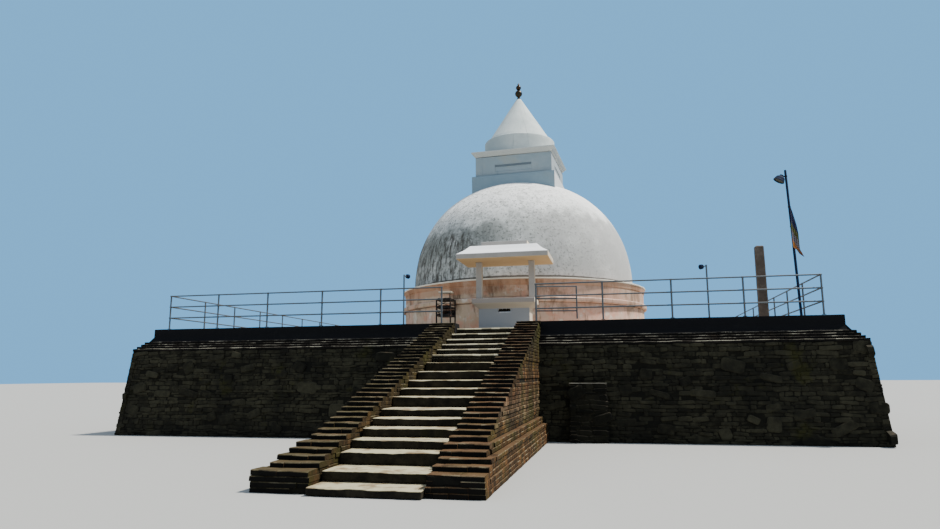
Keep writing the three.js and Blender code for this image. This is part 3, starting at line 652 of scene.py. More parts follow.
class Coat(Enum):
    """Every finish on the stupa."""

    RUBBLE = MasonryFinish(
        "Weathered rubble", (0.0065, 0.006, 0.0042), (0.045, 0.042, 0.026), block_tone=0.34,
        soot=(0.008, 0.0078, 0.0062), soot_cover=0.46, moss=(0.034, 0.034, 0.008), top=(0.07, 0.06, 0.04),
        top_amount=0.3,
    )
    DIM_RUBBLE = MasonryFinish(
        "Shaded rubble", (0.004, 0.004, 0.003), (0.018, 0.017, 0.011), block_tone=0.4, top_amount=0.2,
    )
    MORTAR = MasonryFinish(
        "Dark earth mortar", (0.008, 0.0075, 0.005), (0.024, 0.022, 0.015), top_amount=0.1,
    )
    CORBEL = coping("Blackened coping brick", top=(0.07, 0.06, 0.045), edge=(0.30, 0.28, 0.22), edge_cover=0.48)
    # Lowest course: nosed edges the brightest, rubbed wear and painted highlight.
    LIP = coping("Rubbed lip brick", top=(0.12, 0.10, 0.08), edge=(0.42, 0.39, 0.30), edge_cover=0.56)
    KERB = MasonryFinish(
        "Black kerb plaster", (0.008, 0.008, 0.009), (0.022, 0.022, 0.023), soot_cover=0.6,
        soot=(0.007, 0.007, 0.008), moss=(0.010, 0.010, 0.007), moss_cover=0.3, top=(0.05, 0.045, 0.04),
        top_amount=0.4, top_start=0.75,
    )
    BRICK = brick("Worn red-brown brick", pale=(0.10, 0.045, 0.022), top=(0.11, 0.065, 0.03), bands=(
        (0.0, (0.20, 0.09, 0.03)), (0.2, (0.26, 0.135, 0.042)), (0.27, (0.31, 0.21, 0.12)),
        (0.42, (0.25, 0.115, 0.05)), (0.6, (0.14, 0.085, 0.02)), (0.8, (0.07, 0.066, 0.013)),
    ))
    # A darker copy of the brick, for the left parapet.
    DIM_BRICK = brick("Mossy red-brown brick", pale=(0.08, 0.042, 0.020), top=(0.075, 0.062, 0.030), bands=(
        (0.0, (0.12, 0.06, 0.025)), (0.4, (0.09, 0.06, 0.02)), (0.8, (0.07, 0.06, 0.018)),
    ))
    TREAD = tread("Worn step stone", pale=(0.12, 0.10, 0.06), front_soot=0.6, edge=(0.42, 0.37, 0.25))
    FLIGHT = tread(
        "Worn step brick", pale=(0.07, 0.055, 0.035), front_soot=0.8, edge=(0.66, 0.60, 0.42), edge_cover=0.9,
    )
    PILLAR = MasonryFinish(
        "Old pillar stone", (0.085, 0.068, 0.056), (0.27, 0.225, 0.185), soot=(0.03, 0.026, 0.022),
        soot_cover=0.35, top=(0.20, 0.17, 0.14), grain=12.0,
    )
    EARTH = MasonryFinish("Packed earth", (0.16, 0.12, 0.08), (0.34, 0.27, 0.19), soot_cover=0.2)
    SILL = PlasterFinish("Pale sill mortar", (0.44, 0.41, 0.33))
    DOME = PlasterFinish("Dome limewash", (1.0, 1.0, 0.96), (
        wash((0.45, 0.47, 0.44), 0.55, levels=(4.0, 6.9), fade=0.9, ragged=1.6),
        blotches((0.66, 0.70, 0.64), 0.4, 0.5, 0.40, 0.16),
        blotches(
            (0.34, 0.34, 0.33), 0.75, 0.9, 0.66, 0.18, side=RIGHTWARD, turned=(0.4, 0.85), levels=(4.6, 6.9),
            fade=0.5, ragged=1.2,
        ),
        blotches(
            (0.34, 0.355, 0.33), 0.8, 0.8, 0.62, 0.14, side=LEFTWARD, turned=(0.4, 0.95), levels=(4.4, 6.45),
            fade=0.4, ragged=1.3,
        ),
        blotches(
            (0.16, 0.175, 0.155), 0.65, 1.5, 0.55, 0.12, side=LEFTWARD, turned=(0.1, 0.8), levels=(5.75, 6.6),
            fade=0.4, ragged=1.1,
        ),
        blotches((0.28, 0.29, 0.26), 0.5, 6.0, 0.45, side=LEFTWARD, turned=(-0.7, 0.7)),
        blotches((0.08, 0.09, 0.08), 0.65, 13.0, 0.42, 0.05, side=LEFTWARD, turned=(-0.7, 0.6)),
        streaks(
            (0.14, 0.145, 0.13), 0.65, 8.0, 0.52, down=2.6, side=LEFTWARD, turned=(0.45, 0.95),
            levels=(4.8, 6.5), fade=0.5, ragged=1.4,
        ),
        streaks(
            (0.05, 0.042, 0.034), 0.85, 9.0, 0.56, down=2.4, side=LEFTWARD, turned=(0.5, 0.95),
            levels=(5.0, 6.2), fade=0.5, ragged=1.5,
        ),
        streaks((0.40, 0.41, 0.39), 0.35, 6.0, 0.42, down=1.2),
        wash((0.06, 0.055, 0.045), 0.85, levels=(4.6, 4.84), fade=0.03, ragged=0.06),
    ), 4.15)
    DRUM = PlasterFinish("Pink drum plaster", (0.74, 0.47, 0.36), (
        blotches((0.60, 0.50, 0.40), 0.7, 0.9, 0.48, 0.1),
        blotches((0.52, 0.41, 0.28), 0.8, 0.7, 0.60, 0.12, side=LEFTWARD, turned=(0.3, 0.75)),
        blotches((0.66, 0.30, 0.20), 0.6, 2.4, 0.42),
        blotches((0.78, 0.74, 0.65), 0.6, 3.6, 0.38, 0.06),
        blotches((0.20, 0.13, 0.08), 0.6, 3.0, 0.40, 0.1, levels=(4.1, 4.7), ragged=0.4),
        streaks((0.70, 0.66, 0.58), 0.4, 5.0, down=0.6),
        streaks((0.10, 0.06, 0.035), 0.85, 1.8, 0.52, down=0.6, levels=(3.9, 4.6), fade=0.4, ragged=0.8),
        streaks((0.13, 0.08, 0.05), 0.75, 6.0, 0.45, down=1.4),
        wash((0.70, 0.56, 0.47), 0.5, side=UPWARD, turned=(0.3, 0.8)),
        # Painted bounce light: a warm band on the soffit under the cornice.
        wash((0.46, 0.24, 0.12), 0.45, levels=(4.50, 4.70), fade=0.03, ragged=0.05),
        # Painted shade: darker under the cornice on the left.
        wash(
            (0.42, 0.20, 0.11), 0.5, side=LEFTWARD, turned=(0.5, 0.8), levels=(4.3, 4.7), fade=0.08, ragged=0.2,
        ),
        wash(
            (0.36, 0.24, 0.17), 0.6, side=RIGHTWARD, turned=(0.7, 1.0), levels=(3.9, 4.7), fade=0.3, ragged=0.4,
        ),
    ), 4.5)
    RIM = PlasterFinish("Cream drum rim", (0.90, 0.86, 0.74), (
        blotches((0.60, 0.48, 0.36), 0.6, 2.0, 0.32), streaks((0.30, 0.22, 0.15), 0.5, 4.0, 0.36),
    ), 4.5)
    # Its wash is limewash darkened and blued: painted shade.
    CHAMBER = PlasterFinish("Chamber limewash", (0.36, 0.425, 0.455), (
        blotches((0.25, 0.33, 0.37), 0.6, 1.0, 0.5, 0.14),
        blotches((0.40, 0.40, 0.33), 0.5, 1.6, 0.36, 0.1),
        streaks((0.16, 0.21, 0.24), 0.45, 3.4, 0.44),
        # Painted shade: dark blue over the base.
        wash((0.15, 0.26, 0.34), 0.5, levels=(8.0, 9.05), ragged=0.3),
        wash((0.62, 0.62, 0.56), 0.6, levels=(9.83, 10.1), fade=0.03, ragged=0.06),
        wash((0.32, 0.36, 0.38), 0.9, side=EAST, turned=(0.5, 0.8), levels=(8.9, 10.1), fade=0.2),
        # Painted sunlight: the base's east faces are lighter.
        wash((0.58, 0.60, 0.60), 0.9, side=EAST, turned=(0.5, 0.8), levels=(8.0, 9.0)),
        wash((0.10, 0.12, 0.14), 0.8, side=UPWARD, turned=(0.5, 0.8)),
    ))
    # Painted shadow: a dark strip under the top of the sunk panel.
    PANEL = PlasterFinish("Grimy panel edge", (0.15, 0.19, 0.22))
    SPIRE = PlasterFinish("Spire limewash", (0.68, 0.74, 0.71), (
        blotches((0.48, 0.54, 0.52), 0.6, 1.1, 0.45, 0.12),
        streaks((0.30, 0.36, 0.35), 0.5, 6.0, 0.45, down=0.6),
        # Painted shade: blue-grey on the neck's left front.
        wash((0.32, 0.40, 0.42), 0.75, side=LEFTWARD, turned=(0.5, 0.95), levels=(9.9, 10.8)),
    ), 1.3)
    # Its wash is limewash as it looks in shade: painted shade.
    ALTAR = PlasterFinish("Altar limewash", (0.41, 0.385, 0.35), (
        blotches((0.32, 0.29, 0.27), 0.5, 1.6, 0.36, 0.12),
        streaks((0.22, 0.19, 0.17), 0.35, 6.0),
        # Painted shade: the block's front is blue-grey.
        wash((0.285, 0.30, 0.315), 0.85, levels=(3.0, 3.62), fade=0.02),
        wash((0.33, 0.285, 0.25), 0.85, levels=(3.745, 3.95), fade=0.01),
        # Painted sunlight: east faces are warm and light.
        wash((0.62, 0.53, 0.40), 0.8, side=EAST, turned=(0.4, 0.8)),
        # Painted bounce light: undersides are warm, tan under the slab.
        wash((0.70, 0.48, 0.25), 0.85, side=DOWNWARD, turned=(0.2, 0.6)),
        wash((0.44, 0.40, 0.34), 0.9, side=DOWNWARD, turned=(0.2, 0.6), levels=(3.4, 3.8)),
        # Painted highlight: upward faces are sunlit white.
        wash((0.97, 0.98, 0.98), 0.95, side=UPWARD, turned=(0.3, 0.7)),
        wash((0.40, 0.34, 0.28), 0.8, side=UPWARD, turned=(0.6, 0.8), levels=(3.7, 4.0)),
    ))
    # The niche's inside is painted near-black.
    NICHE = MasonryFinish("Sooty niche", (0.010, 0.009, 0.008), (0.05, 0.045, 0.03), top_amount=0.0)
    RAIL = PaintedMetalFinish("Grey rail paint", (0.10, 0.115, 0.125))
    POLE = PaintedMetalFinish(
        "Dark pole paint", (0.007, 0.016, 0.045), rust_cover=0.25, metal=0.0, gloss=(0.6, 0.9),
    )
    IRON = PaintedMetalFinish(
        "Sooty iron", (0.016, 0.015, 0.014), rust_cover=0.42, metal=0.6, gloss=(0.45, 0.85),
    )
    ASH = PaintedMetalFinish(
        "Ash-dusted plate", (0.62, 0.53, 0.40), rust_cover=0.2, metal=0.0, gloss=(0.6, 0.9),
    )
    BRONZE = PaintedMetalFinish(
        "Dark finial bronze", (0.055, 0.033, 0.018), (0.02, 0.03, 0.022), 0.45, gloss=(0.22, 0.5), metal=0.9,
    )
    FLAG = StripedClothFinish("Faded striped cloth", (
        (0.0, (0.014, 0.020, 0.090)), (0.42, (0.14, 0.14, 0.030)), (0.57, (0.20, 0.18, 0.21)),
        (0.76, (0.48, 0.18, 0.03)), (0.92, (0.10, 0.04, 0.02)),
    ))
    GLASS = LampGlassFinish("Dusty lamp glass", (0.02, 0.028, 0.024))
    PAVING = PavingFinish("Terrace flags", (0.42, 0.37, 0.30), (0.27, 0.22, 0.16))

    @property
    def material(self) -> Material:
        """The finish as a material."""
        return bpy.data.materials[self.value.name]


def mix_coats() -> None:
    """Builds every finish's material once."""
    groups = EffectGroups()
    for coat in Coat:
        coat.value.paint(Shade(coat.value.name, groups))


# Meshes


def plain(source: Thing) -> Thing:
    """Turns an object with modifiers into a plain mesh object.

    Args:
        source: the object.

    Returns:
        The same object, with the result as its mesh.
    """
    depsgraph = bpy.context.evaluated_depsgraph_get()
    mesh = bpy.data.meshes.new_from_object(source.evaluated_get(depsgraph), depsgraph=depsgraph)
    source.modifiers.clear()
    old = source.data
    source.data = mesh
    bpy.data.meshes.remove(old)
    mesh.name = source.name
    return source


def new_object(name: str, mesh: bpy.types.Mesh) -> Thing:
    """Links a mesh into the scene as an object at the origin."""
    made = bpy.data.objects.new(name, mesh)
    bpy.context.scene.collection.objects.link(made)
    return made


def from_bmesh(name: str, bm: BMesh) -> Thing:
    """Turns a bmesh into an object and frees it."""
    mesh = bpy.data.meshes.new(name)
    bm.to_mesh(mesh)
    bm.free()
    return new_object(name, mesh)


def from_points(name: str, points: Sequence[Vector], edges: Sequence[tuple[int, int]] = ()) -> Thing:
    """Makes a mesh object of loose points and of edges between them.

    Args:
        name: the object's name.
        points: its points.
        edges: pairs of point numbers.

    Returns:
        The new object.
    """
    mesh = bpy.data.meshes.new(name)
    mesh.from_pydata([tuple(p) for p in points], list(edges), [])
    return new_object(name, mesh)


def carry(piece: Thing, name: str, values: Sequence[float] | Sequence[Triple]) -> None:
    """Lets the points of a mesh carry numbers or vectors under a name."""
    rows = np.array(values, np.float32)
    kind, key = ("FLOAT_VECTOR", "vector") if rows.ndim > 1 else ("FLOAT", "value")
    piece.data.attributes.new(name, kind, "POINT").data.foreach_set(key, rows.ravel())


def painted(piece: Thing, *coats: Coat, sharp: float | None = None) -> Thing:
    """Gives a plain mesh its finishes, and smooth shading up to an angle in degrees if asked."""
    for coat in coats:
        piece.data.materials.append(coat.material)
    if sharp is not None:
        piece.data.shade_smooth()
        piece.data.set_sharp_from_angle(angle=math.radians(sharp))
    return piece


def cad_copy(node: str) -> BMesh:
    """Copies a CAD node into a bmesh with shared corners and whole flat faces.

    Args:
        node: the node's name.

    Returns:
        The copy, which the caller frees.
    """
    bm = bmesh.new()
    bm.from_mesh(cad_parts[node].data)
    bmesh.ops.remove_doubles(bm, verts=bm.verts, dist=1e-4)
    bmesh.ops.dissolve_limit(bm, angle_limit=math.radians(1.0), verts=bm.verts, edges=bm.edges)
    bm.normal_update()
    return bm


def add_box(bm: BMesh, size: Sequence[float], place: Matrix) -> None:
    """Adds a box of a size, centred on a place."""
    bmesh.ops.create_cube(bm, size=1.0, matrix=place @ Matrix.Diagonal((*size, 1.0)))


def bevel(bm: BMesh, edges: Sequence[BMEdge], width: float, cuts: int, **settings: bool) -> None:
    """Rounds some edges of a mesh by a width, with so many faces."""
    bmesh.ops.bevel(bm, geom=edges, offset=width, segments=cuts, profile=0.5, affect="EDGES", **settings)


def soften(bm: BMesh, width: float, cuts: int = 3) -> None:
    """Rounds every sharp edge of a mesh by a width, with so many faces."""
    sharp = [e for e in bm.edges if len(e.link_faces) == 2 and e.calc_face_angle() > math.radians(25)]
    bevel(bm, sharp, width, cuts, clamp_overlap=True)


def grid_cut(bm: BMesh, spacing: Sequence[float]) -> None:
    """Cuts every face along planes square to the axes.

    Args:
        bm: the mesh to cut.
        spacing: the distance between planes along X, Y and Z; 0 leaves an axis uncut.
    """
    for axis, step in enumerate(spacing):
        at = [v.co[axis] for v in bm.verts]
        low, high = min(at), max(at)
        normal = Vector([float(i == axis) for i in range(3)])
        count = round((high - low) / step) if step else 1
        for number in range(1, count):
            point = normal * (low + (high - low) * number / count)
            everything = [*bm.verts, *bm.edges, *bm.faces]
            bmesh.ops.bisect_plane(bm, geom=everything, dist=1e-5, plane_co=point, plane_no=normal)


def set_back(bm: BMesh, outward: Vector, inset: float, top: float = math.inf) -> None:
    """Moves a form's outward faces back, below a height.

    Args:
        bm: the form.
        outward: the way its faces look.
        inset: how far they move.
        top: the height from which nothing moves.
    """
    for vert in {v for f in bm.faces if f.normal.dot(outward) > 0.4 for v in f.verts}:
        if vert.co.z < top:
            vert.co -= outward * inset


def revolved(
    name: str, profile: Sequence[Pair], segments: int, step: float = 0.0, centre: Vector = Vector(),
) -> Thing:
    """Turns a profile about an upright axis.

    Args:
        name: the object's name.
        profile: radius and height of each point, from the axis at the foot to the axis on top.
        segments: how many faces go round.
        step: the longest distance between rings, or 0 to keep the profile's own.
        centre: the axis in plan.

    Returns:
        The new object, closed and facing outwards.
    """
    line = [profile[0]]
    for a, b in zip(profile, profile[1:]):
        parts = max(1, math.ceil(math.dist(a, b) / step)) if step else 1
        line += [tuple(u + (v - u) * k / parts for u, v in zip(a, b)) for k in range(1, parts + 1)]
    bm = bmesh.new()
    rings = []
    for radius, z in line:
        turns = 1 if radius < 1e-6 else segments
        angles = (2 * math.pi * k / turns for k in range(turns))
        plan = [(centre.x + radius * math.cos(a), centre.y + radius * math.sin(a)) for a in angles]
        rings.append([bm.verts.new((*at, z)) for at in plan])
    for low, high in zip(rings, rings[1:]):
        for k in range(segments):
            n = (k + 1) % segments
            face = (low[k % len(low)], low[n % len(low)], high[n % len(high)], high[k % len(high)])
            if len(set(face)) > 2:
                bm.faces.new(dict.fromkeys(face))
    bmesh.ops.recalc_face_normals(bm, faces=bm.faces)
    return from_bmesh(name, bm)


def arc(centre: Pair, radius: float, start: float, end: float, parts: int) -> list[Pair]:
    """Points of a circular arc in a profile.

    Args:
        centre: radius and height of the arc's centre.
        radius: the arc's own radius.
        start: the first angle in degrees, 0 outwards and 90 up.
        end: the last angle in degrees.
        parts: how many straight pieces make it.

    Returns:
        The points from the first angle to the last.
    """
    angles = [math.radians(start + (end - start) * k / parts) for k in range(parts + 1)]
    return [(centre[0] + radius * math.cos(a), centre[1] + radius * math.sin(a)) for a in angles]


def corners_of(node: str) -> list[Vector]:
    """The corners of a CAD node's mesh."""
    return [v.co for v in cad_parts[node].data.vertices]


def second_coat(piece: Thing, shows: Callable[[Vector], bool]) -> Thing:
    """Gives a piece's faces their second finish where it shows at their middle."""
    for polygon in piece.data.polygons:
        if shows(polygon.center):
            polygon.material_index = 1
    return piece


def plan_centre(node: str) -> Vector:
    """The middle of a CAD node in plan."""
    low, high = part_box(node)
    return Vector(((low.x + high.x) / 2, (low.y + high.y) / 2, 0.0))


def joined(name: str, parts: Sequence[Thing]) -> Thing:
    """Joins plain meshes into the first of them, with each part's finish kept.

    Args:
        name: the joined object's name.
        parts: the meshes, of which the first is kept.

    Returns:
        The joined object.
    """
    bpy.context.view_layer.update()
    with bpy.context.temp_override(active_object=parts[0], selected_editable_objects=list(parts)):
        bpy.ops.object.join()
    parts[0].name = name
    parts[0].data.name = name
    return parts[0]


def dress(piece: Thing, slot: str, *nodes: str, body: Body = Body.STUPA) -> Thing:
    """Puts a finished piece on its body.

    Args:
        piece: the piece.
        slot: the record's material slot; not used.
        *nodes: the CAD nodes that it stands for.
        body: the body that it rides on.

    Returns:
        The piece.
    """
    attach(piece, body.value)
    if nodes:
        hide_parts(*nodes)
    return piece


class Probe:
    """Finds where a straight line meets a CAD node."""

    def __init__(self, node: str) -> None:
        """Reads the node's surface."""
        bm = cad_copy(node)
        self.tree = BVHTree.FromBMesh(bm)
        bm.free()

    def hit(self, start: Vector | Triple, direction: Vector | Triple) -> Vector | None:
        """The first point met from a start along a direction, or None."""
        return self.tree.ray_cast(Vector(start), Vector(direction))[0]


# Geometry Nodes trees


class GeometryTree:
    """A Geometry Nodes tree with named inputs, applied to an object and then removed."""

    def __init__(self, name: str, **inputs: object) -> None:
        """Starts the tree.

        Args:
            name: the tree's name.
            **inputs: the first value, or the type, of each input after the geometry.
        """
        tree = bpy.data.node_groups.new(name, "GeometryNodeTree")
        for way in ("INPUT", "OUTPUT"):
            tree.interface.new_socket(name="Geometry", in_out=way, socket_type="NodeSocketGeometry")
        self.keys = add_inputs(tree, {**inputs, "Material": Material})
        self.w = Wiring(tree)
        self.inputs = {socket.name.replace(" ", "_"): socket for socket in self.w.add("NodeGroupInput").outputs}

    def copies(self, euler: Socket, **feeds: Socket) -> Socket:
        """Puts a copy of the model on every point, turned by Euler angles."""
        model = self.w.add("GeometryNodeObjectInfo", {"Object": self.inputs["Model"]}).outputs["Geometry"]
        turn = self.w.add("FunctionNodeEulerToRotation", {0: euler}).outputs[0]
        points = {"Points": self.inputs["Geometry"], "Instance": model, "Rotation": turn}
        return self.w.first("InstanceOnPoints", {**points, **feeds})

    def close(self, geometry: Socket, smooth: bool, soft: Socket | None = None) -> None:
        """Ends the tree: realized, shaded, and given its material.

        Args:
            geometry: what the tree has made.
            smooth: whether its faces are shaded smooth.
            soft: which of its edges are, or None for all.
        """
        shaded = self.w.first("SetShadeSmooth", {
            0: self.w.first("RealizeInstances", {0: geometry}), "Shade Smooth": smooth,
        })
        if soft is not None:
            shaded = self.w.first("SetShadeSmooth", {0: shaded, "Shade Smooth": soft}, domain="EDGE")
        self.w.end(self.w.first("SetMaterial", {0: shaded, "Material": self.inputs["Material"]}))

    def apply(self, source: Thing, **values: object) -> Thing:
        """Runs the tree on an object and leaves a plain mesh in its place.

        Args:
            source: the object that gives the geometry.
            **values: inputs by name, with _ for a space.

        Returns:
            The same object with its new mesh and no modifier.
        """
        modifier = source.modifiers.new(self.w.tree.name, "NODES")
        modifier.node_group = self.w.tree
        for title, value in values.items():
            modifier[self.keys[title]] = value
        return plain(source)


class BlockTree(GeometryTree):
    """Worn blocks on points that carry their size, turn and shade."""

    def __init__(self) -> None:
        """Builds the tree."""
        super().__init__(
            "Worn blocks", Model=Thing, Sway=(0.02, 0.02, 0.02), Sway_Scale=3.0, Chip=0.004,
            Low=(-50.0, -50.0, 0.0), High=(50.0, 50.0, 50.0),
        )
        w, i = self.w, self.inputs
        at = w.first("InputPosition")
        laid = w.first("RealizeInstances", {0: self.copies(self._named("turn"), Scale=self._named("size"))})
        sway = w.vector("MULTIPLY", self._drift(at, i["Sway_Scale"], 1.0), i["Sway"])
        chip = w.scaled(self._drift(at, 19.0, 2.0), i["Chip"])
        moved = w.first("SetPosition", {"Geometry": laid, "Offset": w.vector("ADD", sway, chip)})
        held = w.vector("MINIMUM", w.vector("MAXIMUM", at, i["Low"]), i["High"])
        self.close(w.first("SetPosition", {"Geometry": moved, "Position": held}), False)

    def _drift(self, at: Socket, scale: Value, detail: float) -> Socket:
        """A smooth random vector between -1 and 1 on each axis."""
        feeds = {"Vector": at, "Scale": scale, "Detail": detail}
        colour = self.w.add("ShaderNodeTexNoise", feeds).outputs[1]
        return self.w.scaled(self.w.vector("SUBTRACT", colour, (0.5, 0.5, 0.5)), 2.0)

    def _named(self, name: str) -> Socket:
        """Reads a vector that each point carries."""
        node = self.w.add("GeometryNodeInputNamedAttribute", {"Name": name}, data_type="FLOAT_VECTOR")
        return enabled(node.outputs, "Attribute")


class PipeTree(GeometryTree):
    """Round pipes along every edge of a wire mesh."""

    def __init__(self) -> None:
        """Builds the tree."""
        super().__init__("Pipes", Radius=0.02, Sides=14)
        w, i = self.w, self.inputs
        line = w.first("MeshToCurve", {0: i["Geometry"]})
        ring = w.first("CurvePrimitiveCircle", {"Resolution": i["Sides"], "Radius": i["Radius"]})
        pipe = w.first("CurveToMesh", {"Curve": line, "Profile Curve": ring, "Fill Caps": True})
        self.close(pipe, True, w.math("LESS_THAN", w.first("InputMeshEdgeAngle"), math.radians(50)))


class SkinTree(GeometryTree):
    """Hand-laid plaster: a surface that sinks a little here and there."""

    def __init__(self) -> None:
        """Builds the tree."""
        super().__init__("Hand-laid skin", Lump=0.01, Lump_Scale=1.0, Trowel=0.003, Trowel_Scale=6.0)
        w, i = self.w, self.inputs
        at = w.first("InputPosition")
        broad = w.times(w.noise(at, i["Lump_Scale"], 1.0), i["Lump"])
        fine = w.times(w.noise(at, i["Trowel_Scale"], 2.0), i["Trowel"])
        sunk = w.scaled(w.first("InputNormal"), w.times(w.plus(broad, fine), -1.0))
        self.close(w.first("SetPosition", {"Geometry": i["Geometry"], "Offset": sunk}), True)


class CopyTree(GeometryTree):
    """Copies of one small object on points, each spun by chance."""

    def __init__(self) -> None:
        """Builds the tree."""
        super().__init__("Copies", Model=Thing, Spin=0.0, Seed=3)
        feeds = {"Seed": self.inputs["Seed"], "Max": self.inputs["Spin"]}
        spin = self.w.add("FunctionNodeRandomValue", feeds, data_type="FLOAT")
        euler = self.w.add("ShaderNodeCombineXYZ", {"Z": enabled(spin.outputs, "Value")}).outputs[0]
        self.close(self.copies(euler), True)


class Stone(Enum):
    """The shapes of a block: its name, worn nose, cut corners, the cuts of each, and cut front rim."""

    HEWN = ("hewn_block", 0.0, 0.0, 1, 0.018)
    NOSED = ("nosed_block", 0.18, 0.0, 1, 0.0)
    ROUNDED = ("rounded_block", 0.42, 0.0, 1, 0.0)
    FIELD = ("field_block", 0.0, 0.15, 1, 0.10)
    BOULDER = ("round_block", 0.0, 0.20, 2, 0.10)


def front_rims(bm: BMesh) -> list[BMEdge]:
    """The edges round a unit block's front."""
    return [e for e in bm.edges if all(v.co.y < -0.49 for v in e.verts)]


def wear_nose(bm: BMesh, worn: float) -> None:
    """Wears a unit block's top front edge round, with an attribute that marks that edge.

    Args:
        bm: the block.
        worn: how much of its height the worn edge takes.
    """
    edges = [e for e in front_rims(bm) if all(v.co.z > 0.49 for v in e.verts)]
    bevel(bm, edges, worn, 2)
    for vert in bm.verts:
        if vert.co.y < 0.01 - 0.5 + worn and vert.co.z > 0.49 - worn:
            vert.co.y = -0.5 + (vert.co.y + 0.5) * 0.4
    bm.normal_update()
    edge = bm.faces.layers.float.new("edge")
    for face in bm.faces:
        face[edge] = 1.0 if face.normal.y < -0.1 and face.normal.z > 0.1 else 0.0


def shaped_block(stone: Stone) -> Thing:
    """Cuts a unit block to its shape."""
    name, nose, corner, cuts, rim = stone.value
    bm = bmesh.new()
    bmesh.ops.create_cube(bm, size=1.0)
    if nose:
        wear_nose(bm, nose)
    if corner:
        bevel(bm, [e for e in bm.edges if abs(e.verts[0].co.y - e.verts[1].co.y) > 0.5], corner, cuts)
    if rim:
        bevel(bm, front_rims(bm), rim, 1)
    return from_bmesh(name, bm)


@dataclass(frozen=True)
class Skin:
    """Hand-laid plaster: how deep lumps and trowel marks are and how many go to a metre."""

    lump: float
    lump_scale: float
    trowel: float
    trowel_scale: float
    sharp: float = 0.0


class Kit:
    """The Geometry Nodes trees and the block shapes that they copy, built once."""

    def __init__(self) -> None:
        """Builds every tree and shape."""
        self.blocks, self.pipes, self.skins, self.copies = BlockTree(), PipeTree(), SkinTree(), CopyTree()
        self.models = {stone: shaped_block(stone) for stone in Stone}

    def plaster(self, piece: Thing, coat: Coat, skin: Skin) -> Thing:
        """Gives a piece a hand-laid skin in a finish, with its edges over the sharp angle kept."""
        self.skins.apply(
            piece, Lump=skin.lump, Lump_Scale=skin.lump_scale, Trowel=skin.trowel,
            Trowel_Scale=skin.trowel_scale, Material=coat.material,
        )
        if skin.sharp:
            piece.data.set_sharp_from_angle(angle=math.radians(skin.sharp))
        return piece

    def pipe(self, name: str, lines: Sequence[Line], radius: float, coat: Coat, sides: int = 14) -> Thing:
        """Makes round pipes along straight lines.

        Args:
            name: the object's name.
            lines: the two ends of each pipe.
            radius: the pipes' radius.
            coat: their finish.
            sides: how many faces go round.

        Returns:
            One mesh object of all the pipes.
        """
        points = [p for line in lines for p in line]
        wire = from_points(name, points, [(2 * k, 2 * k + 1) for k in range(len(lines))])
        return self.pipes.apply(wire, Radius=radius, Sides=sides, Material=coat.material)

    def put_away(self) -> None:
        """Removes the shapes once every block is laid."""
        for model in self.models.values():
            bpy.data.objects.remove(model)


# Masonry


@dataclass(frozen=True)
class Bond:
    """How the blocks of a course are cut and laid, in metres."""

    length: float
    spread: float
    depth: float
    joint: float
    recess: float
    roll: float = 0.01
    lift: float = 0.0
    bed: float = 0.0


@dataclass
class Block:
    """One block: its middle, its size, its turn and how pale it is."""

    place: Vector
    size: Triple
    turn: Triple
    shade: float


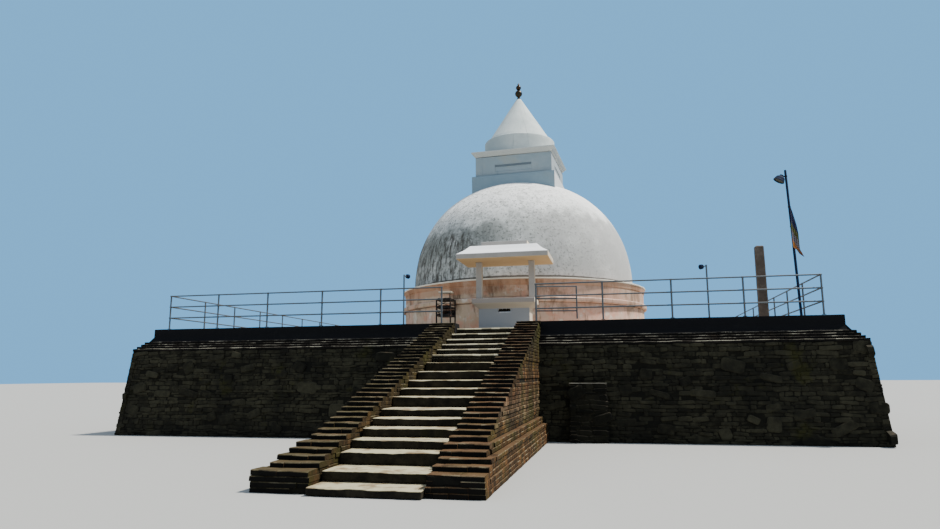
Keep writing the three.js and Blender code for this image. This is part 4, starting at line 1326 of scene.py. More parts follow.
@dataclass
class Blocks:
    """Many blocks, as the points that the block tree reads."""

    rng: np.random.Generator
    laid: list[Block] = field(default_factory=list)

    def course(self, left: Vector, right: Vector, outward: Vector, high: float, bond: Bond) -> None:
        """Lays one course of blocks behind a line on a wall's face.

        Args:
            left: the line's left end at mid height, seen from outside.
            right: its right end.
            outward: the face's outward direction.
            high: the course's height.
            bond: how the blocks are cut.
        """
        total = (right - left).length
        if total < bond.length * 0.3:
            return
        along = (right - left) / total
        inward = -outward.normalized()
        upward = along.cross(inward)
        basis = Matrix((along, inward, upward)).transposed()
        widths = 1.0 + bond.spread * (self.rng.random(max(1, round(total / bond.length))) * 2 - 1)
        widths[0] *= 1.0 - 0.7 * self.rng.random()
        widths *= total / widths.sum()
        start = 0.0
        for width in widths:
            middle = left + along * (start + width / 2)
            start += width
            back = bond.depth / 2 + bond.recess * self.rng.random()
            wave = bond.lift * noise.noise(middle * 0.9)
            roll = Matrix.Rotation(bond.roll * (self.rng.random() * 2 - 1), 3, "Y")
            place = middle + inward * back + upward * wave
            size = (width - bond.joint, bond.depth, high - bond.joint - bond.bed)
            self.laid.append(Block(place, size, tuple((basis @ roll).to_euler()), float(self.rng.random())))

    def big_ones(self, share: float, wide: Pair, high: Pair, turn: float, proud: Vector) -> "Blocks":
        """Takes out some neighbours and sets one big stone in their place.

        Args:
            share: the share of blocks that a big stone is set on.
            wide: the least and the most width of a big stone.
            high: its least and most height.
            turn: how far a big stone may lie askew, in radians.
            proud: how far big stones stand out; their neighbours stand in a third as far.

        Returns:
            The big stones.
        """
        big = Blocks(self.rng)
        for i in np.flatnonzero(self.rng.random(len(self.laid)) < share):
            seat = self.laid[i]
            middle = seat.place + proud
            a, b = self.rng.uniform(*wide), self.rng.uniform(*high)
            if any((middle - other.place).length < 0.75 * (a + b) for other in big.laid):
                continue
            roll = Matrix.Rotation(self.rng.uniform(-turn, turn), 3, "Y")
            askew = tuple((Euler(seat.turn).to_matrix() @ roll).to_euler())
            big.laid.append(Block(middle, (a, seat.size[1], b), askew, float(self.rng.random())))
        for stone in big.laid:
            a, _, b = stone.size
            kept = []
            for block in self.laid:
                away = block.place - stone.place
                if abs(away.z) < b * 0.36 and away.xy.length < a * 0.36:
                    continue
                if abs(away.z) < (b + block.size[2]) / 2 and away.xy.length < (a + block.size[0]) / 2:
                    block.place -= proud / 3
                kept.append(block)
            self.laid = kept
        return big

    def build(
        self, name: str, kit: Kit, coat: Coat, sway: Triple, sway_scale: float, chip: float,
        stone: Stone = Stone.HEWN,
    ) -> Thing:
        """Makes the blocks.

        Args:
            name: the object's name.
            kit: the Geometry Nodes trees.
            coat: the blocks' finish.
            sway: how far neighbours drift together, along each axis.
            sway_scale: how quickly that changes along the wall.
            chip: how far each corner strays by itself.
            stone: the shape of the blocks.

        Returns:
            One mesh object of all the blocks.
        """
        piece = from_points(name, [block.place for block in self.laid])
        for title in ("size", "turn", "shade"):
            carry(piece, title, [getattr(block, title) for block in self.laid])
        return kit.blocks.apply(
            piece, Model=kit.models[stone], Sway=sway, Sway_Scale=sway_scale, Chip=chip,
            Low=tuple(CAD_BOX[0]), High=tuple(CAD_BOX[1]), Material=coat.material,
        )


@dataclass
class Face:
    """A four-cornered wall face, seen from outside."""

    foot_left: Vector
    foot_right: Vector
    top_left: Vector
    top_right: Vector
    outward: Vector

    @property
    def high(self) -> float:
        """Its upright height."""
        return self.top_left.z - self.foot_left.z

    def at(self, rise: float) -> Line:
        """Its left and right ends at a share of its height."""
        return self.foot_left.lerp(self.top_left, rise), self.foot_right.lerp(self.top_right, rise)


def faces_towards(node: str, outward: Vector, closeness: float) -> list[Face]:
    """The four-cornered faces of a CAD node that look one way.

    Args:
        node: the node's name.
        outward: the level direction that they look along.
        closeness: the least cosine between a face's normal and that direction.

    Returns:
        The faces, from the lowest to the highest.
    """
    found = []
    bm = cad_copy(node)
    for polygon in bm.faces:
        if polygon.normal.dot(outward) >= closeness:
            corners = sorted((v.co.copy() for v in polygon.verts), key=lambda p: p.z)
            foot, top = (sorted(ends, key=UP.cross(outward).dot) for ends in (corners[:2], corners[-2:]))
            found.append(Face(foot[0], foot[-1], top[0], top[-1], polygon.normal.copy()))
    bm.free()
    return sorted(found, key=lambda face: face.foot_left.z)


def tallest_face(node: str, outward: Vector, closeness: float = 0.8) -> Face:
    """The tallest face of a CAD node that looks one way."""
    return max(faces_towards(node, outward, closeness), key=lambda face: face.high)


@dataclass
class RetainingWalls:
    """The five rubble walls, their copings and the buttress."""

    kit: Kit
    course: float = 0.095
    rubble: Bond = Bond(0.27, 0.75, 0.15, 0.004, 0.034, 0.09, 0.03)
    corbel: Bond = Bond(0.24, 0.35, 0.15, 0.004, 0.016, 0.015)
    big_share: float = 0.07
    big_wide: Pair = (0.26, 0.62)
    big_high: Pair = (0.15, 0.36)
    big_turn: float = 0.45
    big_proud: float = 0.022
    core_inset: float = 0.035
    corbel_top: float = 2.70
    rubble_sway: float = 0.035
    corbel_sway: Triple = (0.012, 0.012, 0.016)
    kerb_edge: float = 0.022
    sill_high: float = 0.024
    rubble_seed: int = 11
    coping_seed: int = 31
    buttress_seed: int = 71

    def build(self) -> Iterator[Thing]:
        """Builds every run of wall and the buttress."""
        runs = {
            "front_left": Side.FRONT, "front_right": Side.FRONT, "right": Side.RIGHT, "back": Side.BACK,
            "left": Side.LEFT,
        }
        for number, (run, side) in enumerate(runs.items()):
            yield self._wall(run, side.value, number)
            yield self._coping(run, side.value, number)
        yield self._buttress()

    def _rubble(self, name: str, face: Face, seed: int, coat: Coat) -> list[Thing]:
        """Small flat stones in courses that wander over a face, and big round ones among them."""
        small = Blocks(np.random.default_rng(seed))
        rise = 0.0
        while rise < face.high - 0.03:
            high = min(self.course * (0.6 + 0.8 * small.rng.random()), face.high - rise)
            small.course(*face.at((rise + high / 2) / face.high), face.outward, high, self.rubble)
            rise += high
        proud = face.outward * self.big_proud
        big = small.big_ones(self.big_share, self.big_wide, self.big_high, self.big_turn, proud)
        flat = Vector((1.0 - abs(face.outward.x), 1.0 - abs(face.outward.y), 1.0))
        sway = tuple(flat * self.rubble_sway)
        return [
            small.build(f"{name}_small", self.kit, coat, sway, 3.2, 0.016, Stone.FIELD),
            big.build(f"{name}_big", self.kit, coat, sway, 3.2, 0.018, Stone.BOULDER),
        ]

    def _wall(self, run: str, outward: Vector, number: int) -> Thing:
        """One run of rubble wall with its mortar behind the stones."""
        node = f"{run}_wall"
        bm = cad_copy(node)
        set_back(bm, outward, self.core_inset)
        bmesh.ops.triangulate(bm, faces=bm.faces)
        core = painted(from_bmesh(f"{run}_mortar", bm), Coat.MORTAR)
        face, seed = tallest_face(node, outward), self.rubble_seed + number
        stones = self._rubble(f"{run}_stones", face, seed, Coat.RUBBLE)
        return dress(joined(f"{run}_rubble", [core, *stones]), "rubble_masonry", node)

    def _coping(self, run: str, outward: Vector, number: int) -> Thing:
        """The corbelled brick courses and the plastered kerb over one run of wall."""
        node = f"{run}_coping"
        bm = cad_copy(node)
        set_back(bm, outward, self.core_inset, self.corbel_top)
        level = max(v.co.z for v in bm.verts) - 0.01
        top = [e for e in bm.edges if all(v.co.z > level for v in e.verts)]
        bevel(bm, [e for e in top if e.calc_face_angle(0.0) > math.radians(40)], self.kerb_edge, 3)
        grid_cut(bm, (0.35, 0.35, 0.12))
        kerb = self.kit.plaster(from_bmesh(f"{run}_kerb", bm), Coat.KERB, Skin(0.016, 1.1, 0.008, 4.0, 40))
        lip, *corbels = faces_towards(node, outward, 0.97)[:-1]
        parts = [kerb]
        for name, faces, coat in (("lip", [lip], Coat.LIP), ("corbels", corbels, Coat.CORBEL)):
            blocks = Blocks(np.random.default_rng(self.coping_seed + number))
            for face in faces:
                blocks.course(*face.at(0.5), outward, face.high, self.corbel)
            parts.append(blocks.build(
                f"{run}_{name}", self.kit, coat, self.corbel_sway, 2.4, 0.012, Stone.NOSED,
            ))
        return dress(joined(f"{run}_capping", parts), "coping_brick", node)

    def _buttress(self) -> Thing:
        """The low buttress: rubble on its three faces and a pale sill on top."""
        node = "wall_buttress"
        low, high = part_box(node)
        middle = (low + high) / 2
        bm = cad_copy(node)
        for vert in bm.verts:
            vert.co.x = middle.x + (vert.co.x - middle.x) * (1 - 2 * self.core_inset / (high.x - low.x))
            if vert.co.y < middle.y:
                vert.co.y += self.core_inset
        parts = [painted(from_bmesh("buttress_core", bm), Coat.RUBBLE)]
        for number, side in enumerate((Side.FRONT, Side.RIGHT, Side.LEFT)):
            face = tallest_face(node, side.value)
            for corner in (face.top_left, face.top_right):
                corner.z -= self.sill_high
            if side is Side.RIGHT:
                for corner in (face.foot_left, face.top_left):
                    corner.y += self.course
            seed = self.buttress_seed + number
            parts += self._rubble(f"buttress_stones_{number}", face, seed, Coat.DIM_RUBBLE)
        front_y = faces_towards(node, Side.FRONT.value, 0.8)[0].top_left.y
        place = Vector((middle.x, front_y + 0.052, high.z - self.sill_high / 2 - 0.001))
        sill = bmesh.new()
        add_box(sill, (high.x - low.x, 0.10, self.sill_high), Matrix.Translation(place))
        grid_cut(sill, (0.06, 0.04, 0.0))
        soften(sill, 0.006, 2)
        skin = Skin(0.010, 5.0, 0.004, 20.0)
        parts.append(self.kit.plaster(from_bmesh("buttress_sill", sill), Coat.SILL, skin))
        return dress(joined("buttress_rubble", parts), "rubble_masonry", node)


@dataclass
class Stair:
    """Stone treads, the brick flight over them and the two stepped parapets."""

    kit: Kit
    courses: int = 39
    brick: Bond = Bond(0.26, 0.3, 0.13, 0.001, 0.005, 0.012, 0.004, 0.015)
    nose: Bond = Bond(0.24, 0.4, 0.37, 0.003, 0.034, 0.016)
    tread_brick: Bond = Bond(0.23, 0.2, 0.118, 0.004, 0.006, 0.008)
    stone_steps: int = 12
    base_courses: int = 3
    ledge: float = 0.026
    worn_edge: float = 0.024
    worn_deep: float = 0.026
    dip_deep: float = 0.018
    bed: float = 0.03
    sway: Triple = (0.010, 0.014, 0.008)
    nose_sway: Triple = (0.014, 0.030, 0.012)
    flight_seeds: tuple[int, int] = (91, 92)
    parapet_seed: int = 101

    def build(self) -> Iterator[Thing]:
        """Builds the whole stair."""
        for number in range(1, self.stone_steps + 1):
            yield self._tread(number)
        yield self._flight()
        yield self._parapet("left", -1)
        yield self._parapet("right", 1)

    def _tread(self, number: int) -> Thing:
        """One stone slab with a worn front edge."""
        node = f"stone_step_{number:02d}"
        bm = cad_copy(node)
        low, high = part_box(node)
        soften(bm, self.worn_edge)
        grid_cut(bm, (0.055, 0.09, 0.045))
        for vert in bm.verts:
            at = Vector((vert.co.x * 1.5, number * 7.0, vert.co.z * 0.8))
            front = max(0.0, 1.0 - (vert.co.y - low.y) / 0.3)
            worn = 0.4 + 0.7 * noise.noise(at) + 0.6 * noise.noise(at * 4.3) + 0.5 * noise.noise(at * 11.0)
            vert.co.y += self.worn_deep * front * max(0.0, worn)
            if vert.co.z > (low.z + high.z) / 2:
                dip = 0.4 + noise.noise(at * 1.7 + Vector((3.0, 1.0, 5.0))) + 0.4 * noise.noise(at * 6.0)
                vert.co.z -= self.dip_deep * front * max(0.0, dip)
        slab = from_bmesh(f"tread_{number:02d}", bm)
        return dress(self.kit.plaster(slab, Coat.TREAD, Skin(0.010, 3.0, 0.008, 12.0, 50)), "tread_stone", node)

    def _bed(self, name: str, node: str) -> Thing:
        """A copy of a CAD node, smaller on every side that bricks are laid on.

        Args:
            name: the object's name.
            node: the node's name.

        Returns:
            The bed, in mortar.
        """
        bm = cad_copy(node)
        moves = {v: Vector() for v in bm.verts}
        for face in bm.faces:
            n = face.normal
            if n.z > 0.9 or n.y < -0.9 or abs(n.x) > 0.9:
                axis = max(range(3), key=lambda k: abs(n[k]))
                for vert in face.verts:
                    moves[vert][axis] = -n[axis] * self.bed
        for vert, move in moves.items():
            vert.co += move
        return painted(from_bmesh(name, bm), Coat.MORTAR)

    def _flight(self) -> Thing:
        """The brick steps at the head of the stair, two courses to each riser."""
        node = "brick_steps"
        parts = [self._bed("flight_bed", node)]
        risers, lips = (Blocks(np.random.default_rng(seed)) for seed in self.flight_seeds)
        faces = faces_towards(node, Side.FRONT.value, 0.9)
        ends = [face.foot_left.y + self.bed for face in faces[1:]] + [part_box(node)[1].y]
        for face, end in zip(faces, ends):
            half, deep = face.high / 2, end - face.foot_left.y
            risers.course(*face.at(0.25), face.outward, half, self.tread_brick)
            lips.course(*face.at(0.75), face.outward, half, self.tread_brick)
            rows = max(1, round(deep / self.tread_brick.depth))
            for row in range(1, rows):
                left, right = (point + Vector((0.0, row * deep / rows, 0.0)) for point in face.at(0.75))
                risers.course(left, right, face.outward, half, self.tread_brick)
        for name, blocks, stone in (("risers", risers, Stone.HEWN), ("lips", lips, Stone.ROUNDED)):
            parts.append(blocks.build(f"flight_{name}", self.kit, Coat.FLIGHT, self.sway, 2.0, 0.006, stone))
        return dress(joined("brick_flight", parts), "stair_brick", node)

    def _parapet(self, side: str, sign: int) -> Thing:
        """One stepped parapet, with bricks on every face that shows."""
        node = f"{side}_parapet"
        probe = Probe(node)
        low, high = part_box(node)
        thick = high.z / self.courses
        inner = min(abs(low.x), abs(high.x))
        rng = np.random.default_rng(self.parapet_seed + sign)
        noses, sides = Blocks(rng), Blocks(rng)
        outer_side, inner_side = Vector((sign, 0.0, 0.0)), Vector((-sign, 0.0, 0.0))
        near = sign * (inner + 0.3)
        for course in range(self.courses):
            z = (course + 0.5) * thick
            front = probe.hit((near, low.y - 1.0, z), (0, 1, 0))
            back = probe.hit((near, high.y + 1.0, z), (0, -1, 0))
            edge = probe.hit((sign * 5.0, (front.y + back.y) / 2, z), inner_side)
            trims = self.ledge * rng.random(2) * (1, -1)
            line = [Vector((x + trim, front.y, z)) for x, trim in zip(sorted((sign * inner, edge.x)), trims)]
            front_row = sides if course < self.base_courses else noses
            front_row.course(*line, Side.FRONT.value, thick, self.nose)
            start = front.y + self.nose.depth
            for x, outward in ((edge.x, outer_side), (sign * inner, inner_side)):
                inset = self.ledge * rng.random() ** 2
                run = [Vector((x - outward.x * inset, y, z)) for y in (start, back.y)]
                if outward.x < 0:
                    run.reverse()
                if back.y > start:
                    sides.course(*run, outward, thick, self.brick)
        coat = Coat.BRICK if sign > 0 else Coat.DIM_BRICK
        parts = [
            self._bed(f"{node}_bed", node),
            sides.build(f"{node}_sides", self.kit, coat, self.sway, 1.6, 0.005, Stone.NOSED),
            noses.build(f"{node}_noses", self.kit, coat, self.nose_sway, 2.6, 0.015, Stone.NOSED),
        ]
        return dress(joined(f"{side}_stepped_parapet", parts), "stair_brick", node)


# Plastered parts


@dataclass
class Drum:
    """The round wall, its moulding and its cornice."""

    kit: Kit
    segments: int = 168
    skin: Skin = Skin(0.014, 1.4, 0.005, 8.0, 50)
    bead: float = 0.05
    soft: float = 0.018
    rim_high: float = 0.045
    rim_from: float = 4.35
    soffit_rise: float = 0.17

    def build(self) -> Iterator[Thing]:
        """Builds the three rings."""
        low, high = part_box("drum_wall")
        out = high.x
        wall = [(0.0, low.z), (out, low.z), (out, high.z), (0.0, high.z)]
        yield self._ring("drum_plaster", wall, "drum_wall")
        low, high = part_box("drum_moulding")
        bead, reach = self.bead, high.x - self.bead
        yield self._ring("drum_band", [
            (0.0, low.z), (out, low.z), *arc((reach, low.z + bead), bead, -90, 0, 5),
            *arc((reach, high.z - bead), bead, 0, 90, 5), (out, high.z), (0.0, high.z),
        ], "drum_moulding")
        yield self._eave(out)

    def _ring(self, name: str, profile: list[Pair], node: str) -> Thing:
        """One turned ring with a plastered skin."""
        piece = self.kit.plaster(revolved(name, profile, self.segments, 0.16), Coat.DRUM, self.skin)
        return dress(piece, "pink_plaster", node)

    def _eave(self, out: float) -> Thing:
        """The cornice, whose rim is a cream line over a pink soffit."""
        low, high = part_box("drum_cornice")
        soft, top = self.soft, high.z
        rim, lip = high.x - soft, top - self.rim_high
        soffit = lip - self.soffit_rise
        piece = painted(self._ring("drum_eave", [
            (0.0, low.z), (out, low.z), (out, soffit), (out + 0.02, soffit + 0.01),
            (out + 0.035, lip - self.soffit_rise * 0.5), (rim, lip - 0.01),
            *arc((rim, lip + soft), soft, -90, 0, 3), *arc((rim, top - soft), soft, 0, 90, 3), (0.0, top),
        ], "drum_cornice"), Coat.RIM)
        return second_coat(piece, lambda at: at.z > lip - 0.02 and at.xy.length > self.rim_from)


@dataclass
class Dome:
    """The dome on the drum."""

    kit: Kit
    segments: int = 224
    rows: int = 80
    power: float = 2.2

    def build(self) -> Iterator[Thing]:
        """Builds the dome's skin, fuller at the shoulders than an ellipse."""
        low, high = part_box("dome")
        centre = plan_centre("dome")
        radius = (high.x - low.x) / 2
        tall = max(
            (p.z - low.z) / (1 - ((p - centre).xy.length / radius) ** self.power) ** (1 / self.power)
            for p in corners_of("dome") if (p - centre).xy.length < 0.93 * radius
        )
        profile = [(0.0, low.z)]
        for row in range(self.rows + 1):
            angle = math.pi / 2 * row / self.rows
            out, rise = (abs(share) ** (2 / self.power) for share in (math.cos(angle), math.sin(angle)))
            profile.append((radius * out if row < self.rows else 0.0, low.z + tall * rise))
        piece = revolved("dome_shell", profile, self.segments, 0.0, centre)
        skin = Skin(0.03, 0.9, 0.008, 5.0, 60)
        yield dress(self.kit.plaster(piece, Coat.DOME, skin), "dome_limewash", "dome")


@dataclass
class Crown:
    """The square chamber, the round neck, the cone and the finial."""

    kit: Kit
    segments: int = 96
    flat_skin: Skin = Skin(0.014, 1.6, 0.004, 8.0, 35)
    round_skin: Skin = Skin(0.012, 1.8, 0.003, 8.0, 50)
    panel_size: Triple = (1.36, 0.022, 0.07)
    panel_at: Triple = (0.0, -1.43, 9.452)
    panel_turn: float = math.radians(-3.5)
    edge: float = 0.022
    shoulder: float = 0.05
    cone_tip: float = 0.105
    ball: float = 0.143
    ball_z: float = 12.85
    bud: float = 0.104
    bud_z: float = 13.105

    def build(self) -> Iterator[Thing]:
        """Builds the crown from the chamber up."""
        for name, node in (("foot", "base"), ("body", "walls"), ("eave", "cornice")):
            yield self._stage(f"chamber_{name}", f"chamber_{node}")
        low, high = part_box("spire_neck")
        radius, soft = (high.x - low.x) / 2, self.shoulder
        shoulder = arc((radius - soft, high.z - soft), soft, 0, 90, 6)
        yield self._turned("neck_drum", "spire_neck", [(0.0, low.z), (radius, low.z), *shoulder, (0.0, high.z)])
        low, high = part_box("spire_cone")
        radius, tip = (high.x - low.x) / 2, self.cone_tip
        yield self._turned("cone_cap", "spire_cone", [
            (0.0, low.z), (radius - 0.02, low.z), (radius, low.z + 0.02), (radius - 0.012, low.z + 0.045),
            (tip, high.z - 0.015), (tip - 0.02, high.z), (0.0, high.z),
        ])
        yield self._finial()

    def _stage(self, name: str, node: str) -> Thing:
        """One square stage, with rounded edges and a plastered skin."""
        bm = cad_copy(node)
        soften(bm, self.edge)
        grid_cut(bm, (0.16, 0.16, 0.16))
        piece = self.kit.plaster(from_bmesh(name, bm), Coat.CHAMBER, self.flat_skin)
        if node == "chamber_walls":
            piece = joined(name, [piece, self._panel_edge()])
        return dress(piece, "chamber_limewash", node)

    def _panel_edge(self) -> Thing:
        """A dark strip, painted shadow, under the top of the sunk panel on the chamber's front."""
        bm = bmesh.new()
        turn = Matrix.Rotation(self.panel_turn, 4, "Z")
        add_box(bm, self.panel_size, turn @ Matrix.Translation(self.panel_at))
        return painted(from_bmesh("panel_edge", bm), Coat.PANEL)

    def _turned(self, name: str, node: str, profile: list[Pair]) -> Thing:
        """One turned stage on the spire's own axis."""
        piece = revolved(name, profile, self.segments, 0.12, plan_centre(node))
        return dress(self.kit.plaster(piece, Coat.SPIRE, self.round_skin), "chamber_limewash", node)

    def _finial(self) -> Thing:
        """A foot ring, a ball, a bud and a drawn-out tip."""
        low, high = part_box("finial")
        ball, ball_z, bud, bud_z, stem = self.ball, self.ball_z, self.bud, self.bud_z, 0.045
        neck, tip = ball_z + ball, bud_z + bud
        profile = [
            (0.0, low.z), (0.066, low.z), (0.066, low.z + 0.03), (0.05, low.z + 0.05),
            *arc((0.0, ball_z), ball, -66, -6, 9), (ball + 0.003, ball_z), *arc((0.0, ball_z), ball, 6, 68, 9),
            (stem, neck + 0.005), (0.06, neck + 0.014), (stem, neck + 0.024),
            *arc((0.0, bud_z), bud, -55, 70, 12), (0.026, tip + 0.004), (0.046, tip + 0.03),
            (0.04, tip + 0.05), (0.014, high.z - 0.02), (0.0, high.z),
        ]
        piece = revolved("finial_bronze_work", profile, 48, 0.0, plan_centre("finial"))
        return dress(painted(piece, Coat.BRONZE, sharp=40), "finial_bronze", "finial")


@dataclass
class Altar:
    """The coved altar, its two pillars and the roof over them."""

    kit: Kit
    niche_x: Pair = (0.087, 0.427)
    niche_z: Pair = (3.505, 3.595)
    niche_deep: float = 0.07
    scallops: int = 3
    skin: Skin = Skin(0.007, 2.4, 0.003, 10.0, 35)

    def build(self) -> Iterator[Thing]:
        """Builds the altar from the floor up."""
        yield self._block()
        for name, node, edge in (
            ("left_post", "altar_pillar_left", 0.014), ("right_post", "altar_pillar_right", 0.014),
            ("canopy", "altar_roof", 0.012),
        ):
            yield self._skinned(from_bmesh(name, self._form(node, edge, 0.11)), node)

    def _form(self, node: str, edge: float, rise: float) -> BMesh:
        """A finely cut copy of a CAD node with rounded edges."""
        bm = cad_copy(node)
        soften(bm, edge)
        grid_cut(bm, (0.11, 0.11, rise))
        return bm

    def _skinned(self, piece: Thing, node: str) -> Thing:
        """Gives a form its plastered skin and puts it in place of a node."""
        return dress(self.kit.plaster(piece, Coat.ALTAR, self.skin), "altar_plaster", node)

    def _block(self) -> Thing:
        """The altar with a scalloped lamp niche cut in its front."""
        face_y = tallest_face("altar", Side.FRONT.value, 0.99).foot_left.y
        form = from_bmesh("altar_block", self._form("altar", 0.014, 0.09))
        (left, right), (bottom, top) = self.niche_x, self.niche_z
        pitch = (right - left) / self.scallops
        for number in range(self.scallops):
            cutter = self._scallop(left + pitch * (number + 0.5), pitch * 0.56, face_y)
            modifier = form.modifiers.new("Niche", "BOOLEAN")
            modifier.object = cutter
            modifier.solver = "EXACT"
            plain(form)
            bpy.data.objects.remove(cutter)
        return second_coat(
            painted(self._skinned(form, "altar"), Coat.NICHE),
            lambda at: left < at.x < right and bottom < at.z < top and at.y > face_y + 0.012,
        )

    def _scallop(self, x: float, half: float, face_y: float) -> Thing:
        """An arched cutter that reaches in from the altar's front.

        Args:
            x: the middle of the arch.
            half: half its width.
            face_y: where the altar's front is.

        Returns:
            The cutter.
        """
        bottom, top = self.niche_z
        rise = (top - bottom) * 0.5
        outline = [(x - half, bottom), (x + half, bottom)]
        for angle in (math.pi * k / 10 for k in range(11)):
            outline.append((x + half * math.cos(angle), top - rise + rise * math.sin(angle)))
        bm = bmesh.new()
        cap = bm.faces.new([bm.verts.new((px, face_y - 0.05, pz)) for px, pz in outline])
        pulled = bmesh.ops.extrude_face_region(bm, geom=[cap])["geom"]
        for vert in (g for g in pulled if isinstance(g, BMVert)):
            vert.co.y += 0.05 + self.niche_deep
        bmesh.ops.recalc_face_normals(bm, faces=bm.faces)
        return from_bmesh("niche_cutter", bm)


# Iron work


def feet_of(node: str) -> list[Vector]:
    """The centres of the round feet that a CAD node stands on.

    Args:
        node: the node's name.

    Returns:
        One point for each foot, sorted along X and then Y.
    """
    low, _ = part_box(node)
    groups: list[list[Vector]] = []
    for at in (p.copy() for p in corners_of(node) if p.z <= low.z + 0.002):
        near = next((g for g in groups if (g[0] - at).length < 0.12), None)
        if near is None:
            groups.append([at])
        else:
            near.append(at)
    centres = [Vector([(min(p[i] for p in g) + max(p[i] for p in g)) / 2 for i in range(3)]) for g in groups]
    return sorted(centres, key=lambda p: (round(p.x, 2), p.y))


def level_at(point: Vector, z: float) -> Vector:
    """The place straight over or under a point at a height."""
    return Vector((point.x, point.y, z))


@dataclass
class Railings:
    """Pipe railings on the kerb and the gate leaf that hangs on one of them."""

    kit: Kit
    shares: Triple = (0.333, 0.667, 1.0)
    post: float = 0.024
    rail: float = 0.020
    sleeve: float = 0.0235
    sleeve_long: float = 0.055
    flange: float = 0.055
    flange_high: float = 0.008
    leaf_drop: float = 0.057
    leaf_stile: float = 0.020
    leaf_rail: float = 0.017
    lug: Triple = (0.048, 0.1, 0.009)

    def build(self) -> Iterator[Thing]:
        """Builds the five runs and the gate leaf."""
        for run in ("front_left", "front_right", "left", "right", "back"):
            yield self._run(run)
        yield self._leaf()

    def _levels(self, node: str, drop: float = 0.0) -> list[float]:
        """The heights of the three rails of a run."""
        low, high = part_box(node)
        return [low.z + (high.z - self.rail - low.z) * share - drop for share in self.shares]

    def _run(self, run: str) -> Thing:
        """One run: posts with base flanges, three rails, and a sleeve at each crossing."""
        node = f"{run}_railing"
        low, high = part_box(node)
        axis = 0 if high.x - low.x > high.y - low.y else 1
        feet = sorted((p for p in feet_of(node) if p.z < low.z + 0.01), key=lambda p: p[axis])
        half = Vector([self.sleeve_long / 2 if i == axis else 0.0 for i in range(3)])
        ends = [feet[0].copy(), feet[-1].copy()]
        first, last = ends[0][axis], ends[1][axis]
        ends[0][axis] = min(first, low[axis] + (self.post if first - low[axis] < 0.1 else 0.0))
        ends[1][axis] = max(last, high[axis] - (self.post if high[axis] - last < 0.1 else 0.0))
        levels = self._levels(node)
        crossings = [level_at(foot, z) for foot in feet for z in levels]
        kinds = (
            ("posts", [(p, level_at(p, high.z - self.rail)) for p in feet], self.post, 14),
            ("rails", [tuple(level_at(p, z) for p in ends) for z in levels], self.rail, 14),
            ("sleeves", [(p - half, p + half) for p in crossings], self.sleeve, 14),
            ("flanges", [(p, p + UP * self.flange_high) for p in feet], self.flange, 20),
        )
        parts = [self.kit.pipe(f"{run}_{name}", lines, size, Coat.RAIL, n) for name, lines, size, n in kinds]
        if run == "front_right":
            parts.append(self._lugs())
        return dress(joined(f"{run}_pipe_rail", parts), "rail_paint", node)

    def _lugs(self) -> Thing:
        """The two hinge lugs under and over the gate leaf's stile."""
        low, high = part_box("gate_leaf")
        stile = feet_of("gate_leaf")[0]
        bm = bmesh.new()
        for z in (low.z - 0.0054, high.z + 0.0054):
            add_box(bm, self.lug, Matrix.Translation((stile.x, stile.y - 0.025, z)))
        soften(bm, 0.003, 2)
        return painted(from_bmesh("hinge_lugs", bm), Coat.RAIL)

    def _leaf(self) -> Thing:
        """The gate leaf: two stiles and three rails, with a collar at each joint."""
        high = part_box("gate_leaf")[1]
        near, far = feet_of("gate_leaf")
        levels = self._levels("front_right_railing", self.leaf_drop)
        way = (far - near).normalized()
        collars = []
        for z in levels:
            for stile, sense in ((near, 1), (far, -1)):
                start = level_at(stile, z) + way * sense * 0.012
                collars.append((start, start + way * sense * 0.02))
        kinds = (
            ("stiles", [(p, level_at(p, high.z)) for p in (near, far)], self.leaf_stile),
            ("rails", [(level_at(near, z), level_at(far, z)) for z in levels], self.leaf_rail),
            ("collars", collars, self.leaf_rail + 0.003),
        )
        parts = [self.kit.pipe(f"leaf_{name}", lines, size, Coat.RAIL) for name, lines, size in kinds]
        return dress(joined("gate_pipe_leaf", parts), "rail_paint", "gate_leaf", body=Body.GATE)


def turned_lamp(name: str, profile: list[Pair], segments: int, place: Matrix) -> Thing:
    """A turned lamp housing with a glass front.

    Args:
        name: the object's name.
        profile: radius and height of each point, from the middle of the glass.
        segments: how many faces go round.
        place: where the lamp goes.

    Returns:
        The lamp.
    """
    piece = painted(revolved(name, profile, segments), Coat.POLE, Coat.GLASS, sharp=40)
    second_coat(piece, lambda at: abs(at.z - profile[0][1]) < 1e-4)
    piece.data.transform(place)
    return piece


